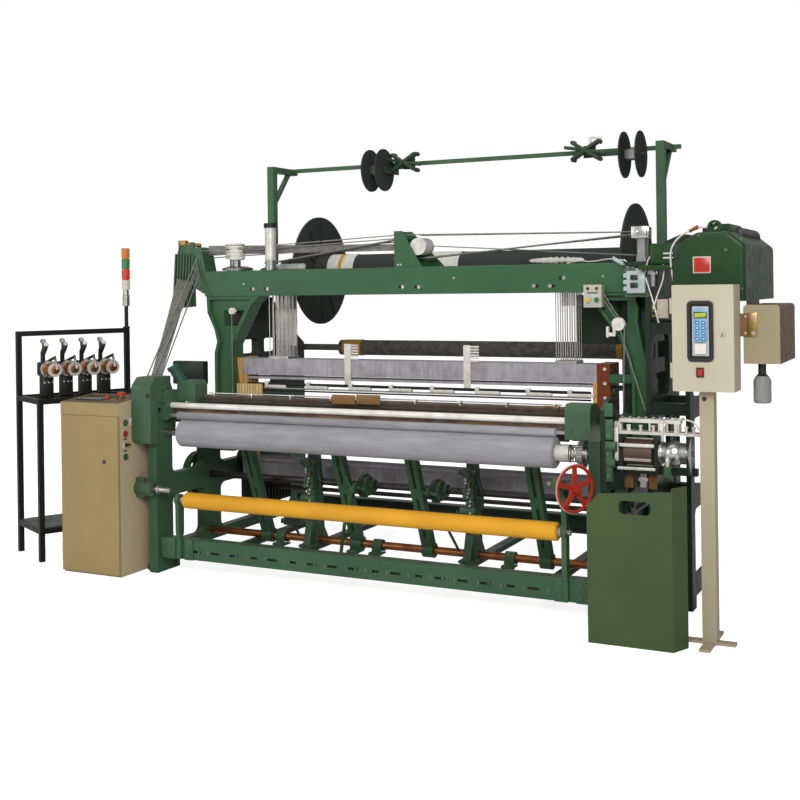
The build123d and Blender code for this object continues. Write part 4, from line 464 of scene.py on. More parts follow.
class Smith:
    """Gathers shapes, drawn in the machine's millimetres, into one finished piece."""

    def __init__(self, name: str, finish: Finish, body: str = "frame") -> None:
        """Starts an empty piece.

        Args:
            name: the piece's name.
            finish: its finish.
            body: the moving body that it rides on.
        """
        self.name, self.body, self.finish = name, body, finish
        self.mesh = bmesh.new()

    def block(self, x0: float, x1: float, y0: float, y1: float, z0: float, z1: float,
              soft: float = 0.0) -> "Smith":
        """Adds a box between two corners, with its edges softened by a radius.

        Returns:
            The smith itself.
        """
        middle = Matrix.Translation(((x0 + x1) / 2, (y0 + y1) / 2, (z0 + z1) / 2))
        size = Matrix.Diagonal((abs(x1 - x0), abs(y1 - y0), abs(z1 - z0), 1.0))
        made = bmesh.ops.create_cube(self.mesh, size=1.0, matrix=middle @ size)
        self._soften(made["verts"], soft)
        return self

    def _soften(self, verts: Iterable[bmesh.types.BMVert], soft: float) -> None:
        """Bevels the sharp edges between some corners."""
        if soft <= 0.0:
            return
        edges = list({edge for vert in verts for edge in vert.link_edges})
        sharp = [e for e in edges if e.calc_face_angle(0.0) > ROUNDED_FROM]
        bmesh.ops.bevel(self.mesh, geom=sharp, offset=soft, segments=2, affect="EDGES",
                        profile=0.5, clamp_overlap=True)

    def rod(self, start: Point, end: Point, radius: float, sides: int = 20, soft: float = 0.0,
            tip: Optional[float] = None) -> "Smith":
        """Adds a round bar between two points, or a cone where the tip's radius differs.

        Returns:
            The smith itself.
        """
        a, b = Vector(start), Vector(end)
        turn = (b - a).to_track_quat("Z", "Y").to_matrix().to_4x4()
        made = bmesh.ops.create_cone(self.mesh, cap_ends=True, segments=sides, radius1=radius,
                                     radius2=radius if tip is None else tip,
                                     depth=(b - a).length,
                                     matrix=Matrix.Translation((a + b) / 2) @ turn)
        self._soften(made["verts"], soft)
        return self

    def turned(self, axis: Axis, centre: Point, profile: Sequence[tuple[float, float]],
               sides: int = 32) -> "Smith":
        """Adds a turned shape.

        Args:
            axis: the axis that it is turned on.
            centre: a point on that axis.
            profile: pairs of distance along the axis and radius; it closes on the axis.
            sides: how many flats the round is made of.

        Returns:
            The smith itself.
        """
        rings = []
        for along, radius in profile:
            ring = []
            for count in range(sides):
                angle = 2 * math.pi * count / sides
                spot = axis.spread(along, radius * math.cos(angle), radius * math.sin(angle))
                ring.append(self.mesh.verts.new(Vector(centre) + spot))
            rings.append(ring)
        made = []
        for low, high in zip(rings, rings[1:]):
            for count in range(sides):
                after = (count + 1) % sides
                made.append(self.mesh.faces.new((low[count], low[after], high[after],
                                                 high[count])))
        made.append(self.mesh.faces.new(list(reversed(rings[0]))))
        made.append(self.mesh.faces.new(rings[-1]))
        bmesh.ops.recalc_face_normals(self.mesh, faces=made)
        return self

    def prism(self, axis: Axis, outline: Sequence[tuple[float, float]], low: float,
              high: float, soft: float = 0.0) -> "Smith":
        """Adds a flat outline with a thickness along an axis.

        Args:
            axis: the axis of the thickness.
            outline: corners in the plane across it: (Y, Z), (Z, X) or (X, Y).
            low: where the thickness starts.
            high: where it ends.
            soft: the radius of its edges.

        Returns:
            The smith itself.
        """
        under = [self.mesh.verts.new(axis.spread(low, a, b)) for a, b in outline]
        over = [self.mesh.verts.new(axis.spread(high, a, b)) for a, b in outline]
        made = [self.mesh.faces.new(list(reversed(under))), self.mesh.faces.new(over)]
        for count in range(len(outline)):
            after = (count + 1) % len(outline)
            made.append(self.mesh.faces.new((under[count], under[after], over[after],
                                             over[count])))
        bmesh.ops.recalc_face_normals(self.mesh, faces=made)
        self._soften(under + over, soft)
        return self

    def ribbon(self, points: Sequence[Point], width: Vector, thick: Vector) -> "Smith":
        """Adds a flat band through points, with the same width and thickness all along.

        Returns:
            The smith itself.
        """
        rings = []
        for spot in points:
            here = Vector(spot)
            rings.append([self.mesh.verts.new(here + width * a + thick * b)
                          for a, b in ((-0.5, -0.5), (0.5, -0.5), (0.5, 0.5), (-0.5, 0.5))])
        made = [self.mesh.faces.new(rings[0]), self.mesh.faces.new(list(reversed(rings[-1])))]
        for low, high in zip(rings, rings[1:]):
            for count in range(4):
                after = (count + 1) % 4
                made.append(self.mesh.faces.new((low[count], low[after], high[after],
                                                 high[count])))
        bmesh.ops.recalc_face_normals(self.mesh, faces=made)
        return self

    def done(self) -> bpy.types.Object:
        """Finishes the piece and hangs it on its body.

        Returns:
            The finished object.
        """
        for vert in self.mesh.verts:
            vert.co = vert.co * MM + SHIFT
        data = bpy.data.meshes.new(self.name)
        self.mesh.to_mesh(data)
        self.mesh.free()
        return finish_piece(data, self.name, self.body, self.finish)


def finish_piece(data: bpy.types.Mesh, name: str, body: str,
                 finish: Finish) -> bpy.types.Object:
    """Puts a mesh in the scene with its finish, smoothed, on its body.

    Args:
        data: the mesh, in the frame's metres.
        name: the piece's name.
        body: the body that it rides on.
        finish: its finish.

    Returns:
        The finished object.
    """
    data.materials.clear()
    data.materials.append(finish.material())
    for face in data.polygons:
        face.use_smooth = True
        face.material_index = 0
    data.set_sharp_from_angle(angle=PIECE_SMOOTH)
    piece = bpy.data.objects.new(name, data)
    bpy.context.scene.collection.objects.link(piece)
    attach(piece, body)
    return piece


class Part(Enum):
    """The shape that a row repeats."""

    BOX = "box"
    ROD = "rod"


class RowTree:
    """Geometry nodes that repeat one part along a line, round a ring, or both."""

    INPUTS = (("Count", "Int"), ("Start", "Vector"), ("Step", "Vector"), ("Turn", "Vector"),
              ("Turn Step", "Vector"), ("Reach", "Vector"), ("Size", "Vector"),
              ("Scatter", "Vector"), ("Material", "Material"))

    def __init__(self, part: Part, sides: int = 8, seed: int = 7) -> None:
        """Builds the tree.

        Args:
            part: the shape to repeat. A rod's size is its diameter twice and its length.
            sides: how many flats a rod has.
            seed: the seed of the scatter.
        """
        self.tree = bpy.data.node_groups.new(f"rows_of_{part.value}_{sides}", "GeometryNodeTree")
        sockets = self.tree.interface
        for name, kind in self.INPUTS:
            sockets.new_socket(name=name, in_out="INPUT", socket_type="NodeSocket" + kind)
        sockets.new_socket(name="Geometry", in_out="OUTPUT", socket_type="NodeSocketGeometry")
        self.names = {s.name: s.identifier for s in sockets.items_tree if s.in_out == "INPUT"}
        given = self._add("NodeGroupInput").outputs
        index = self._add("GeometryNodeInputIndex").outputs[0]
        spot = self._vector("MULTIPLY_ADD", given["Step"], index, given["Start"])
        turn = self._vector("MULTIPLY_ADD", given["Turn Step"], index, given["Turn"])
        chance = self._add("FunctionNodeRandomValue", data_type="FLOAT_VECTOR")
        chance.inputs[0].default_value = (-1.0, -1.0, -1.0)
        chance.inputs["Seed"].default_value = seed
        self._link(index, chance.inputs["ID"])
        shake = self._vector("MULTIPLY", chance.outputs[0], given["Scatter"])
        spot = self._vector("ADD", spot, shake)
        points = self._add("GeometryNodePoints")
        self._link(given["Count"], points.inputs["Count"])
        self._link(spot, points.inputs["Position"])
        shape = self._shape(part, sides)
        moved = self._add("GeometryNodeTransform")
        self._link(shape, moved.inputs["Geometry"])
        self._link(given["Reach"], moved.inputs["Translation"])
        self._link(given["Size"], moved.inputs["Scale"])
        put = self._add("GeometryNodeInstanceOnPoints")
        self._link(points.outputs[0], put.inputs["Points"])
        self._link(moved.outputs[0], put.inputs["Instance"])
        self._link(turn, put.inputs["Rotation"])
        real = self._add("GeometryNodeRealizeInstances")
        self._link(put.outputs[0], real.inputs[0])
        dress = self._add("GeometryNodeSetMaterial")
        self._link(real.outputs[0], dress.inputs["Geometry"])
        self._link(given["Material"], dress.inputs["Material"])
        self._link(dress.outputs[0], self._add("NodeGroupOutput").inputs[0])

    def _add(self, kind: str, **values: object) -> bpy.types.Node:
        """Adds a node and sets its fields."""
        made = self.tree.nodes.new(kind)
        for key, value in values.items():
            setattr(made, key, value)
        return made

    def _link(self, source: bpy.types.NodeSocket, target: bpy.types.NodeSocket) -> None:
        """Joins two sockets."""
        self.tree.links.new(source, target)

    def _vector(self, how: str, *values: bpy.types.NodeSocket) -> bpy.types.NodeSocket:
        """One step of vector arithmetic."""
        made = self._add("ShaderNodeVectorMath", operation=how)
        for socket, value in zip(made.inputs, values):
            self._link(value, socket)
        return made.outputs[0]

    def _shape(self, part: Part, sides: int) -> bpy.types.NodeSocket:
        """The part at unit size."""
        if part is Part.BOX:
            return self._add("GeometryNodeMeshCube").outputs["Mesh"]
        made = self._add("GeometryNodeMeshCylinder")
        made.inputs["Vertices"].default_value = sides
        made.inputs["Radius"].default_value = 0.5
        made.inputs["Depth"].default_value = 1.0
        return made.outputs["Mesh"]

    def row(self, name: str, body: str, finish: Finish, count: int, start: Point, step: Point,
            size: Point, turn: Point = (0.0, 0.0, 0.0), turn_step: Point = (0.0, 0.0, 0.0),
            reach: Point = (0.0, 0.0, 0.0),
            scatter: Point = (0.0, 0.0, 0.0)) -> bpy.types.Object:
        """Makes one row as a plain mesh.

        Args:
            name: the piece's name.
            body: the body that it rides on.
            finish: its finish.
            count: how many parts.
            start: the first part's place, in machine millimetres.
            step: from one part to the next.
            size: the part's size.
            turn: its turn in degrees.
            turn_step: degrees from one part to the next.
            reach: how far the part stands off its place before it is turned.
            scatter: the most that a part strays.

        Returns:
            The finished object.
        """
        holder = bpy.data.objects.new(name + "_rows", bpy.data.meshes.new(name))
        bpy.context.scene.collection.objects.link(holder)
        rows = holder.modifiers.new("rows", "NODES")
        rows.node_group = self.tree
        values = {"Count": count, "Start": place(*start), "Step": Vector(step) * MM,
                  "Turn": Vector([math.radians(a) for a in turn]),
                  "Turn Step": Vector([math.radians(a) for a in turn_step]),
                  "Reach": Vector(reach) * MM, "Size": Vector(size) * MM,
                  "Scatter": Vector(scatter) * MM, "Material": finish.material()}
        for key, value in values.items():
            rows[self.names[key]] = value
        seen = holder.evaluated_get(bpy.context.evaluated_depsgraph_get())
        data = bpy.data.meshes.new_from_object(seen)
        holder.modifiers.clear()
        bpy.data.objects.remove(holder)
        return finish_piece(data, name, body, finish)


class PathTree:
    """Geometry nodes that draw a round section along a curve."""

    def __init__(self, sides: int = 8) -> None:
        """Builds the tree.

        Args:
            sides: how many flats the section has.
        """
        self.tree = bpy.data.node_groups.new("round_along_path", "GeometryNodeTree")
        sockets = self.tree.interface
        for name, kind in (("Geometry", "Geometry"), ("Radius", "Float"),
                           ("Material", "Material")):
            sockets.new_socket(name=name, in_out="INPUT", socket_type="NodeSocket" + kind)
        sockets.new_socket(name="Geometry", in_out="OUTPUT", socket_type="NodeSocketGeometry")
        self.names = {s.name: s.identifier for s in sockets.items_tree if s.in_out == "INPUT"}
        nodes, link = self.tree.nodes, self.tree.links.new
        given = nodes.new("NodeGroupInput").outputs
        ring = nodes.new("GeometryNodeCurvePrimitiveCircle")
        ring.inputs["Resolution"].default_value = sides
        link(given["Radius"], ring.inputs["Radius"])
        tube = nodes.new("GeometryNodeCurveToMesh")
        tube.inputs["Fill Caps"].default_value = True
        link(given["Geometry"], tube.inputs["Curve"])
        link(ring.outputs[0], tube.inputs["Profile Curve"])
        real = nodes.new("GeometryNodeRealizeInstances")
        link(tube.outputs[0], real.inputs[0])
        dress = nodes.new("GeometryNodeSetMaterial")
        link(real.outputs[0], dress.inputs["Geometry"])
        link(given["Material"], dress.inputs["Material"])
        link(dress.outputs[0], nodes.new("NodeGroupOutput").inputs[0])

    def run(self, name: str, body: str, finish: Finish, paths: Sequence[Sequence[Point]],
            radius: float) -> bpy.types.Object:
        """Makes tubes along paths as one plain mesh.

        Args:
            name: the piece's name.
            body: the body that it rides on.
            finish: its finish.
            paths: each path's points, in machine millimetres.
            radius: the tube's radius in millimetres.

        Returns:
            The finished object.
        """
        curve = bpy.data.curves.new(name + "_path", "CURVE")
        curve.dimensions = "3D"
        curve.resolution_u = 6
        for points in paths:
            spline = curve.splines.new("NURBS")
            spline.points.add(len(points) - 1)
            for spot, point in zip(points, spline.points):
                point.co = (*place(*spot), 1.0)
            spline.order_u = min(3, len(points))
            spline.use_endpoint_u = True
        holder = bpy.data.objects.new(name + "_holder", curve)
        bpy.context.scene.collection.objects.link(holder)
        tube = holder.modifiers.new("tube", "NODES")
        tube.node_group = self.tree
        tube[self.names["Radius"]] = radius * MM
        tube[self.names["Material"]] = finish.material()
        seen = holder.evaluated_get(bpy.context.evaluated_depsgraph_get())
        data = bpy.data.meshes.new_from_object(seen)
        holder.modifiers.clear()
        bpy.data.objects.remove(holder)
        return finish_piece(data, name, body, finish)


# The machine, one class for each sub-assembly


@dataclass
class Kit:
    """The geometry-node trees that the sub-assemblies share."""

    boxes: RowTree = field(default_factory=lambda: RowTree(Part.BOX))
    rods: RowTree = field(default_factory=lambda: RowTree(Part.ROD, 8))
    hexes: RowTree = field(default_factory=lambda: RowTree(Part.ROD, 6))
    tubes: PathTree = field(default_factory=PathTree)


@dataclass
class Assembly:
    """A sub-assembly: the CAD nodes it dresses and the pieces it adds."""

    kit: Kit

    def dress(self) -> None:
        """Gives the sub-assembly's CAD nodes their finishes."""
        raise NotImplementedError

    def build(self) -> None:
        """Makes the sub-assembly's own pieces."""
        raise NotImplementedError

    def run(self) -> None:
        """Dresses and builds it, and logs it."""
        self.dress()
        self.build()
        LOG.info("%s done", type(self).__name__)


Zone = tuple[Callable[[Vector], bool], Finish]


def wear(finish: Finish, *nodes: str, zones: Sequence[Zone] = (), wide: float = 0.0) -> None:
    """Gives CAD nodes a finish, with other finishes on some of their faces.

    Args:
        finish: the finish of most faces.
        nodes: the CAD nodes.
        zones: tests of a face's middle, in machine millimetres, with the finish they give.
        wide: how far edges are rounded, in millimetres.
    """
    for name in nodes:
        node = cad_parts[name]
        data = node.data
        data.materials.clear()
        for kind in (finish, *(zone[1] for zone in zones)):
            data.materials.append(kind.material())
        for face in data.polygons:
            spot = (face.center - SHIFT) / MM
            hit = [i + 1 for i, (test, _) in enumerate(zones) if test(spot)]
            face.material_index = hit[0] if hit else 0
            face.use_smooth = True
        data.set_sharp_from_angle(angle=NODE_SMOOTH)
        if wide > 0.0:
            edge = node.modifiers.new("soft_edges", "BEVEL")
            edge.width = wide * MM
            edge.segments = 2
            edge.limit_method = "ANGLE"
            edge.angle_limit = ROUNDED_FROM
            edge.harden_normals = True


def bolt_heads(name: str, spots: Sequence[Point], axis: Axis, outward: int, width: float = 16.0,
               body: str = "frame", finish: Finish = BOLT_GREEN) -> None:
    """Adds hexagon bolt heads with washers.

    Args:
        name: the piece's name.
        spots: each bolt's place on the face that it is screwed into.
        axis: the bolts' axis.
        outward: 1 or -1, the way that the heads point.
        width: across a head.
        body: the body that they ride on.
        finish: their finish.
    """
    smith = Smith(name, finish, body)
    for spot in spots:
        for reach, radius, sides in ((2.2, width * 0.72, 20), (width * 0.45, width * 0.55, 6)):
            tip = Vector(spot) + axis.spread(outward * reach, 0.0, 0.0)
            smith.rod(spot, tuple(tip), radius, sides)
    smith.done()


def fan(centre: float, count: int, pitch: float) -> list[float]:
    """Evenly spaced places either side of a centre."""
    return [centre + pitch * (n - (count - 1) / 2) for n in range(count)]


@dataclass
class BaseFrame(Assembly):
    """Side frames, front rail, ties and the shaft supports."""

    slot_z: float = 138.0
    slots: int = 18
    supports: tuple[float, float] = (-600.0, 420.0)
    shaft: tuple[float, float] = (500.0, 157.0)
    crank: tuple[float, float] = (505.0, 500.0)
    shaft_r: float = 27.0
    outer: tuple[float, float] = (-1412.0, 1312.0)
    strap_x: tuple[float, ...] = (-825.0, -319.0, -175.0, 640.0)

    def dress(self) -> None:
        """Green castings with a dusty rail, rusty and dark shafts."""
        wear(DEEP_GREEN, "base_ties", "right_side_frame")
        wear(FRAME_GREEN, "front_rail", "centre_supports", "left_side_frame")
        wear(RUSTY_SHAFT, "rocking_shaft")
        wear(DARK_STEEL, "crank_shaft", zones=[
            (lambda c: math.hypot(c.y - self.crank[0], c.z - self.crank[1]) > self.shaft_r,
             FRAME_GREEN)])

    def build(self) -> None:
        """The rail's fixings, end plates, shaft straps, caps and small castings."""
        self.rail()
        self.shaft_straps()
        self.castings()
        self.loose_pieces()
        for side, x, out in (("left", self.outer[0], -1), ("right", self.outer[1], 1)):
            heads = [(x, y, z) for y, z in ((140, 890), (360, 900), (900, 905), (1180, 905),
                                            (1560, 890), (60, 120), (1580, 120), (800, 120))]
            bolt_heads(f"{side}_frame_bolts", heads, Axis.X, out, 22)

    def rail(self) -> None:
        """Bolts in the rail's slots, a black strip of painted shade behind them, pale weld seams
        beside them and the end plates.
        """
        pitch = 2300 / self.slots
        first = -1160 + pitch * 0.5
        spots = [(first + pitch * n + 18 * (-1) ** n, -1, self.slot_z)
                 for n in range(self.slots) if n % 3 != 1]
        bolt_heads("rail_slot_bolts", spots, Axis.Y, -1, 11)
        # A black strip behind the slots, where the rail's inside lies in shade: painted shade
        (Smith("rail_shadow_strip", BLACK_PAINT)
         .block(-1340, 1240, 8.5, 10.5, 120, 156, 0.5)
         .done())
        self.kit.boxes.row("rail_seams", "frame", STEEL, self.slots - 1,
                           (first + pitch * 0.62, -0.6, self.slot_z), (pitch, 0, 0),
                           (1.6, 1.6, 26), scatter=(7, 0, 3))
        plates = Smith("rail_end_plates", FRAME_GREEN)
        for x0, x1 in ((-1340, -1242), (-1178, -1118), (1060, 1128),
                       (1172, 1248)):
            plates.block(x0, x1, -7, 0.5, 88, 207, 1.5)
        plates.done()
        ends = [(x, -7, z) for x in (-1318, -1264, -1150, 1092, 1198, 1228)
                for z in (116, 180)]
        bolt_heads("rail_end_bolts", ends, Axis.Y, -1, 12)

    def shaft_straps(self) -> None:
        """Bent straps that hook over the rocking shaft, each with its foot and bolt."""
        y, z = self.shaft
        straps = Smith("shaft_straps", FRAME_GREEN)
        heads = []
        for x in self.strap_x:
            arc = [(x, y + 30 * math.cos(math.radians(a)), z + 30 * math.sin(math.radians(a)))
                   for a in range(0, 181, 20)]
            foot = [(x, y + 30, 121), *arc, (x, y - 30, 121)]
            straps.ribbon(foot, Vector((58, 0, 0)), Vector((0, 7, 7)))
            straps.block(x - 36, x + 36, y - 66, y - 28, 106, 124, 3)
            heads.append((x, y - 48, 124))
        straps.done()
        bolt_heads("strap_bolts", heads, Axis.Z, 1, 15)
        steps = Smith("strap_ties", DEEP_GREEN)
        for x in self.strap_x:
            steps.block(x - 18, x + 18, 8, y + 60, 99, 108, 1.5)
        steps.done()

    def castings(self) -> None:
        """Bearing caps, grease cups, knobs and levers on the centre supports."""
        caps = Smith("bearing_caps", FRAME_GREEN)
        cups = Smith("grease_cups", BRASS)
        levers = Smith("support_levers", DEEP_GREEN)
        heads = []
        for x in self.supports:
            caps.block(x - 34, x + 34, 424, 452, 470, 532, 7)
            caps.block(x - 30, x + 30, 398, 448, 300, 344, 8)
            caps.block(x - 26, x + 26, 404, 452, 596, 648, 9)
            caps.rod((x - 52, 428, 620), (x + 52, 428, 620), 15, 18, 3)
            caps.rod((x - 44, 420, 410), (x + 46, 420, 410), 20, 20, 4)
            cups.rod((x, 440, 532), (x, 440, 548), 5, 12)
            cups.rod((x, 440, 548), (x, 440, 562), 9, 14, 2)
            levers.rod((x + 60, 426, 620), (x + 96, 404, 520), 9, 12)
            levers.rod((x + 96, 404, 520), (x + 88, 420, 430), 9, 12)
            levers.rod((x - 60, 424, 408), (x - 96, 380, 300), 8, 12)
            levers.rod((x - 96, 380, 300), (x - 40, 392, 190), 8, 12)
            heads += [(x + dx, 424, z) for dx in (-22, 22) for z in (480, 522)]
            heads += [(x + dx, 398, z) for dx in (-18, 18) for z in (312, 332)]
        caps.done()
        cups.done()
        levers.done()
        bolt_heads("cap_bolts", heads, Axis.Y, -1, 13)
        for n, x in enumerate(self.supports):
            self.kit.hexes.row(f"support_nuts_{n + 1}", "frame", STEEL, 12,
                               (x, 402, 360), (0, 1.8, 25), (15, 15, 12),
                               turn=(90, 0, 0), scatter=(24, 0, 9))

    def loose_pieces(self) -> None:
        """Paper tags, rear drive cases, a dark panel of painted shade behind the right leg, the
        hanging lever, the foot box and the rear ties.
        """
        tags = Smith("tie_tags", PAPER)
        for x, z in ((-706, 402), (-560, 396), (-510, 420)):
            tags.block(x, x + 42, 892, 894, z, z + 120, 0.6)
        tags.block(-720, -450, 895, 905, 520, 532, 1)
        tags.done()
        cases = Smith("rear_cases_and_shade_panel", STAND_GREEN)
        cases.block(-1352, -1236, 830, 1270, 236, 700, 14)
        cases.rod((-1290, 800, 560), (-1290, 1320, 560), 74, 36, 8)
        cases.block(1110, 1254, 780, 1180, 236, 660, 14)
        cases.rod((1168, 750, 470), (1168, 1220, 470), 70, 36, 8)
        cases.block(-1640, -1396, 510, 558, 1052, 1198, 8)
        # A dark panel behind the right arch leg, put where there is only shade: painted shade
        cases.block(1236, 1400, 640, 652, 860, 1590, 4)
        cases.done()
        self.kit.boxes.row("rear_case_fins", "frame", DARK_STEEL, 11, (-1231, 860, 470),
                           (0, 38, 0), (12, 8, 400))
        lever = Smith("hanging_lever", FRAME_GREEN)
        lever.rod((-357, 300, 695), (-237, 300, 503), 8, 14, 2)
        lever.rod((-237, 300, 503), (-284, 300, 330), 8, 14, 2)
        lever.rod((-237, 288, 503), (-237, 312, 503), 20, 20, 3)
        lever.rod((-284, 300, 330), (-319, 300, 104), 10, 14, 2)
        lever.done()
        Smith("foot_box", BLACK_PLASTIC).block(1282, 1346, 88, 128, 248, 298, 3).done()
        (Smith("foot_box_plate", WHITE_METAL)
         .block(1277, 1351, 127.5, 131, 243, 303, 1)
         .done())
        ties = Smith("rear_ties", DARK_STEEL)
        ties.rod((-1350, 1000, 355), (1250, 1000, 355), 14, 16)
        ties.rod((-1350, 900, 526), (1250, 900, 526), 9, 12)
        ties.done()


@dataclass
class ClothSide(Assembly):
    """The breast tube, take-up roller, press roller and cloth roll."""

    roller: tuple[float, float] = (60.0, 812.0)
    press: tuple[float, float] = (52.95, 913.05)
    ends: tuple[float, float] = (-1227.0, 1060.0)

    def dress(self) -> None:
        """Woven cloth on the rollers, paint on the roll."""
        press, take = (tuple(place(0.0, *spot).yz) for spot in (self.press, self.roller))
        cloth = Weave("take_up_cloth", "mesh_cloth", (0.330, 0.330, 0.352),
                      (0.235, 0.233, 0.252), take)
        thin = Weave("press_cloth", "mesh_cloth", (0.350, 0.345, 0.370), (0.205, 0.200, 0.215),
                     press, 40)
        ends = self.ends
        wear(cloth, "take_up_roller", zones=[
            (lambda c: c.x > ends[1] + 3 and c.x < 1180, WHITE_METAL),
            (lambda c: c.x < ends[0] - 3 or c.x > ends[1] + 3, STEEL)])
        wear(thin, "press_roller", zones=[(lambda c: c.x < -1302 or c.x > 1118, STEEL)])
        wear(ORANGE_ROLL, "cloth_roll", zones=[(lambda c: c.x < -1162 or c.x > 1094, STEEL)])
        wear(TUBE_WHITE, "breast_tube")
        wear(RUSTY_BEAM, "breast_beam")
        wear(HOUSING_GREEN, "breast_brackets")
        wear(FRAME_GREEN, "cloth_brackets")

    def build(self) -> None:
        """Frayed wire ends round the roller, clips along the beam and bracket bolts."""
        y, z = self.roller
        for side, x, out in (("left", self.ends[0], -1), ("right", self.ends[1], 1)):
            self.kit.rods.row(f"{side}_selvedge_wires", "take_up", STEEL, 84,
                              (x + 6 * out, y, z), (0, 0, 0), (1.1, 1.1, 16),
                              turn=(0, 90, 0), turn_step=(360 / 84, 0, 0),
                              reach=(0, 74.5, 0), scatter=(3, 0, 0))
        self.kit.boxes.row("breast_clips", "frame", RUSTY_BEAM, 24, (-1240, 82, 912),
                           (104, 0, 0), (16, 6, 22))
        bolt_heads("bracket_bolts", [(x, 9, z_at) for x in (-1327, 1148, 1222)
                                     for z_at in (930, 1000)], Axis.Y, -1, 12)
        wraps = Smith("cloth_roll_collars", STEEL, "cloth")
        for x in (-1172, 1096):
            wraps.turned(Axis.X, (x, -12, 435), [(-6, 20), (-6, 26), (8, 26), (8, 20)])
        wraps.done()
        coil = [(1128 + n * 1.5, y - 44 * math.cos(math.radians(40 * n)),
                 z + 44 * math.sin(math.radians(40 * n))) for n in range(37)]
        self.kit.tubes.run("selvedge_spring", "take_up", STEEL, [coil], 3)
        patch = Smith("breast_strip", BROWN_PLATE)
        for x0, x1 in ((-1180, -1040), (-330, -140), (520, 760), (880, 1010)):
            patch.block(x0, x1, 80.5, 84.5, 916, 946, 1)
        patch.done()


@dataclass
class Sley(Assembly):
    """The rocking sley: swords, race beam, reed and hand rail."""

    ends: tuple[float, float] = (-1130.0, 1060.0)

    def dress(self) -> None:
        """Green swords and a worn steel race."""
        wear(FRAME_GREEN, "sley_swords")
        wear(RACE_STEEL, "sley_beam")
        wear(DEEP_GREEN, "connecting_rods")

    def build(self) -> None:
        """The reed's dents, the race's brown plates, its guide rods and the brass fork."""
        lean = math.radians(22)
        foot, head = (196, 905), (162, 990)
        dents = 420
        length = math.hypot(head[0] - foot[0], head[1] - foot[1])
        step = (self.ends[1] - self.ends[0]) / dents
        middle = ((foot[0] + head[0]) / 2, (foot[1] + head[1]) / 2)
        self.kit.boxes.row("reed_dents", "sley", STEEL, dents, (self.ends[0], *middle),
                           (step, 0, 0), (0.8, 6, length), turn=(math.degrees(lean), 0, 0))
        plate = Smith("race_plates", BROWN_PLATE, "sley")
        plate.block(-271, -126, 145, 151, 1004, 1056, 1)
        plate.block(-118, 30, 145, 151, 1008, 1060, 1)
        plate.done()
        rods = Smith("race_rods", BRIGHT_STEEL, "sley")
        for y, z in ((178, 1038), (196, 1024)):
            rods.rod((-1120, y, z), (1050, y, z), 4, 12)
        for x in fan(-35, 9, 262):
            rods.block(x - 6, x + 6, 172, 202, 1014, 1042, 2)
        rods.done()
        fork = Smith("race_fork", BRASS, "sley")
        fork.block(1010, 1046, 150, 168, 1020, 1034, 3)
        fork.rod((960, 158, 1030), (1046, 158, 1030), 4, 10)
        fork.done()


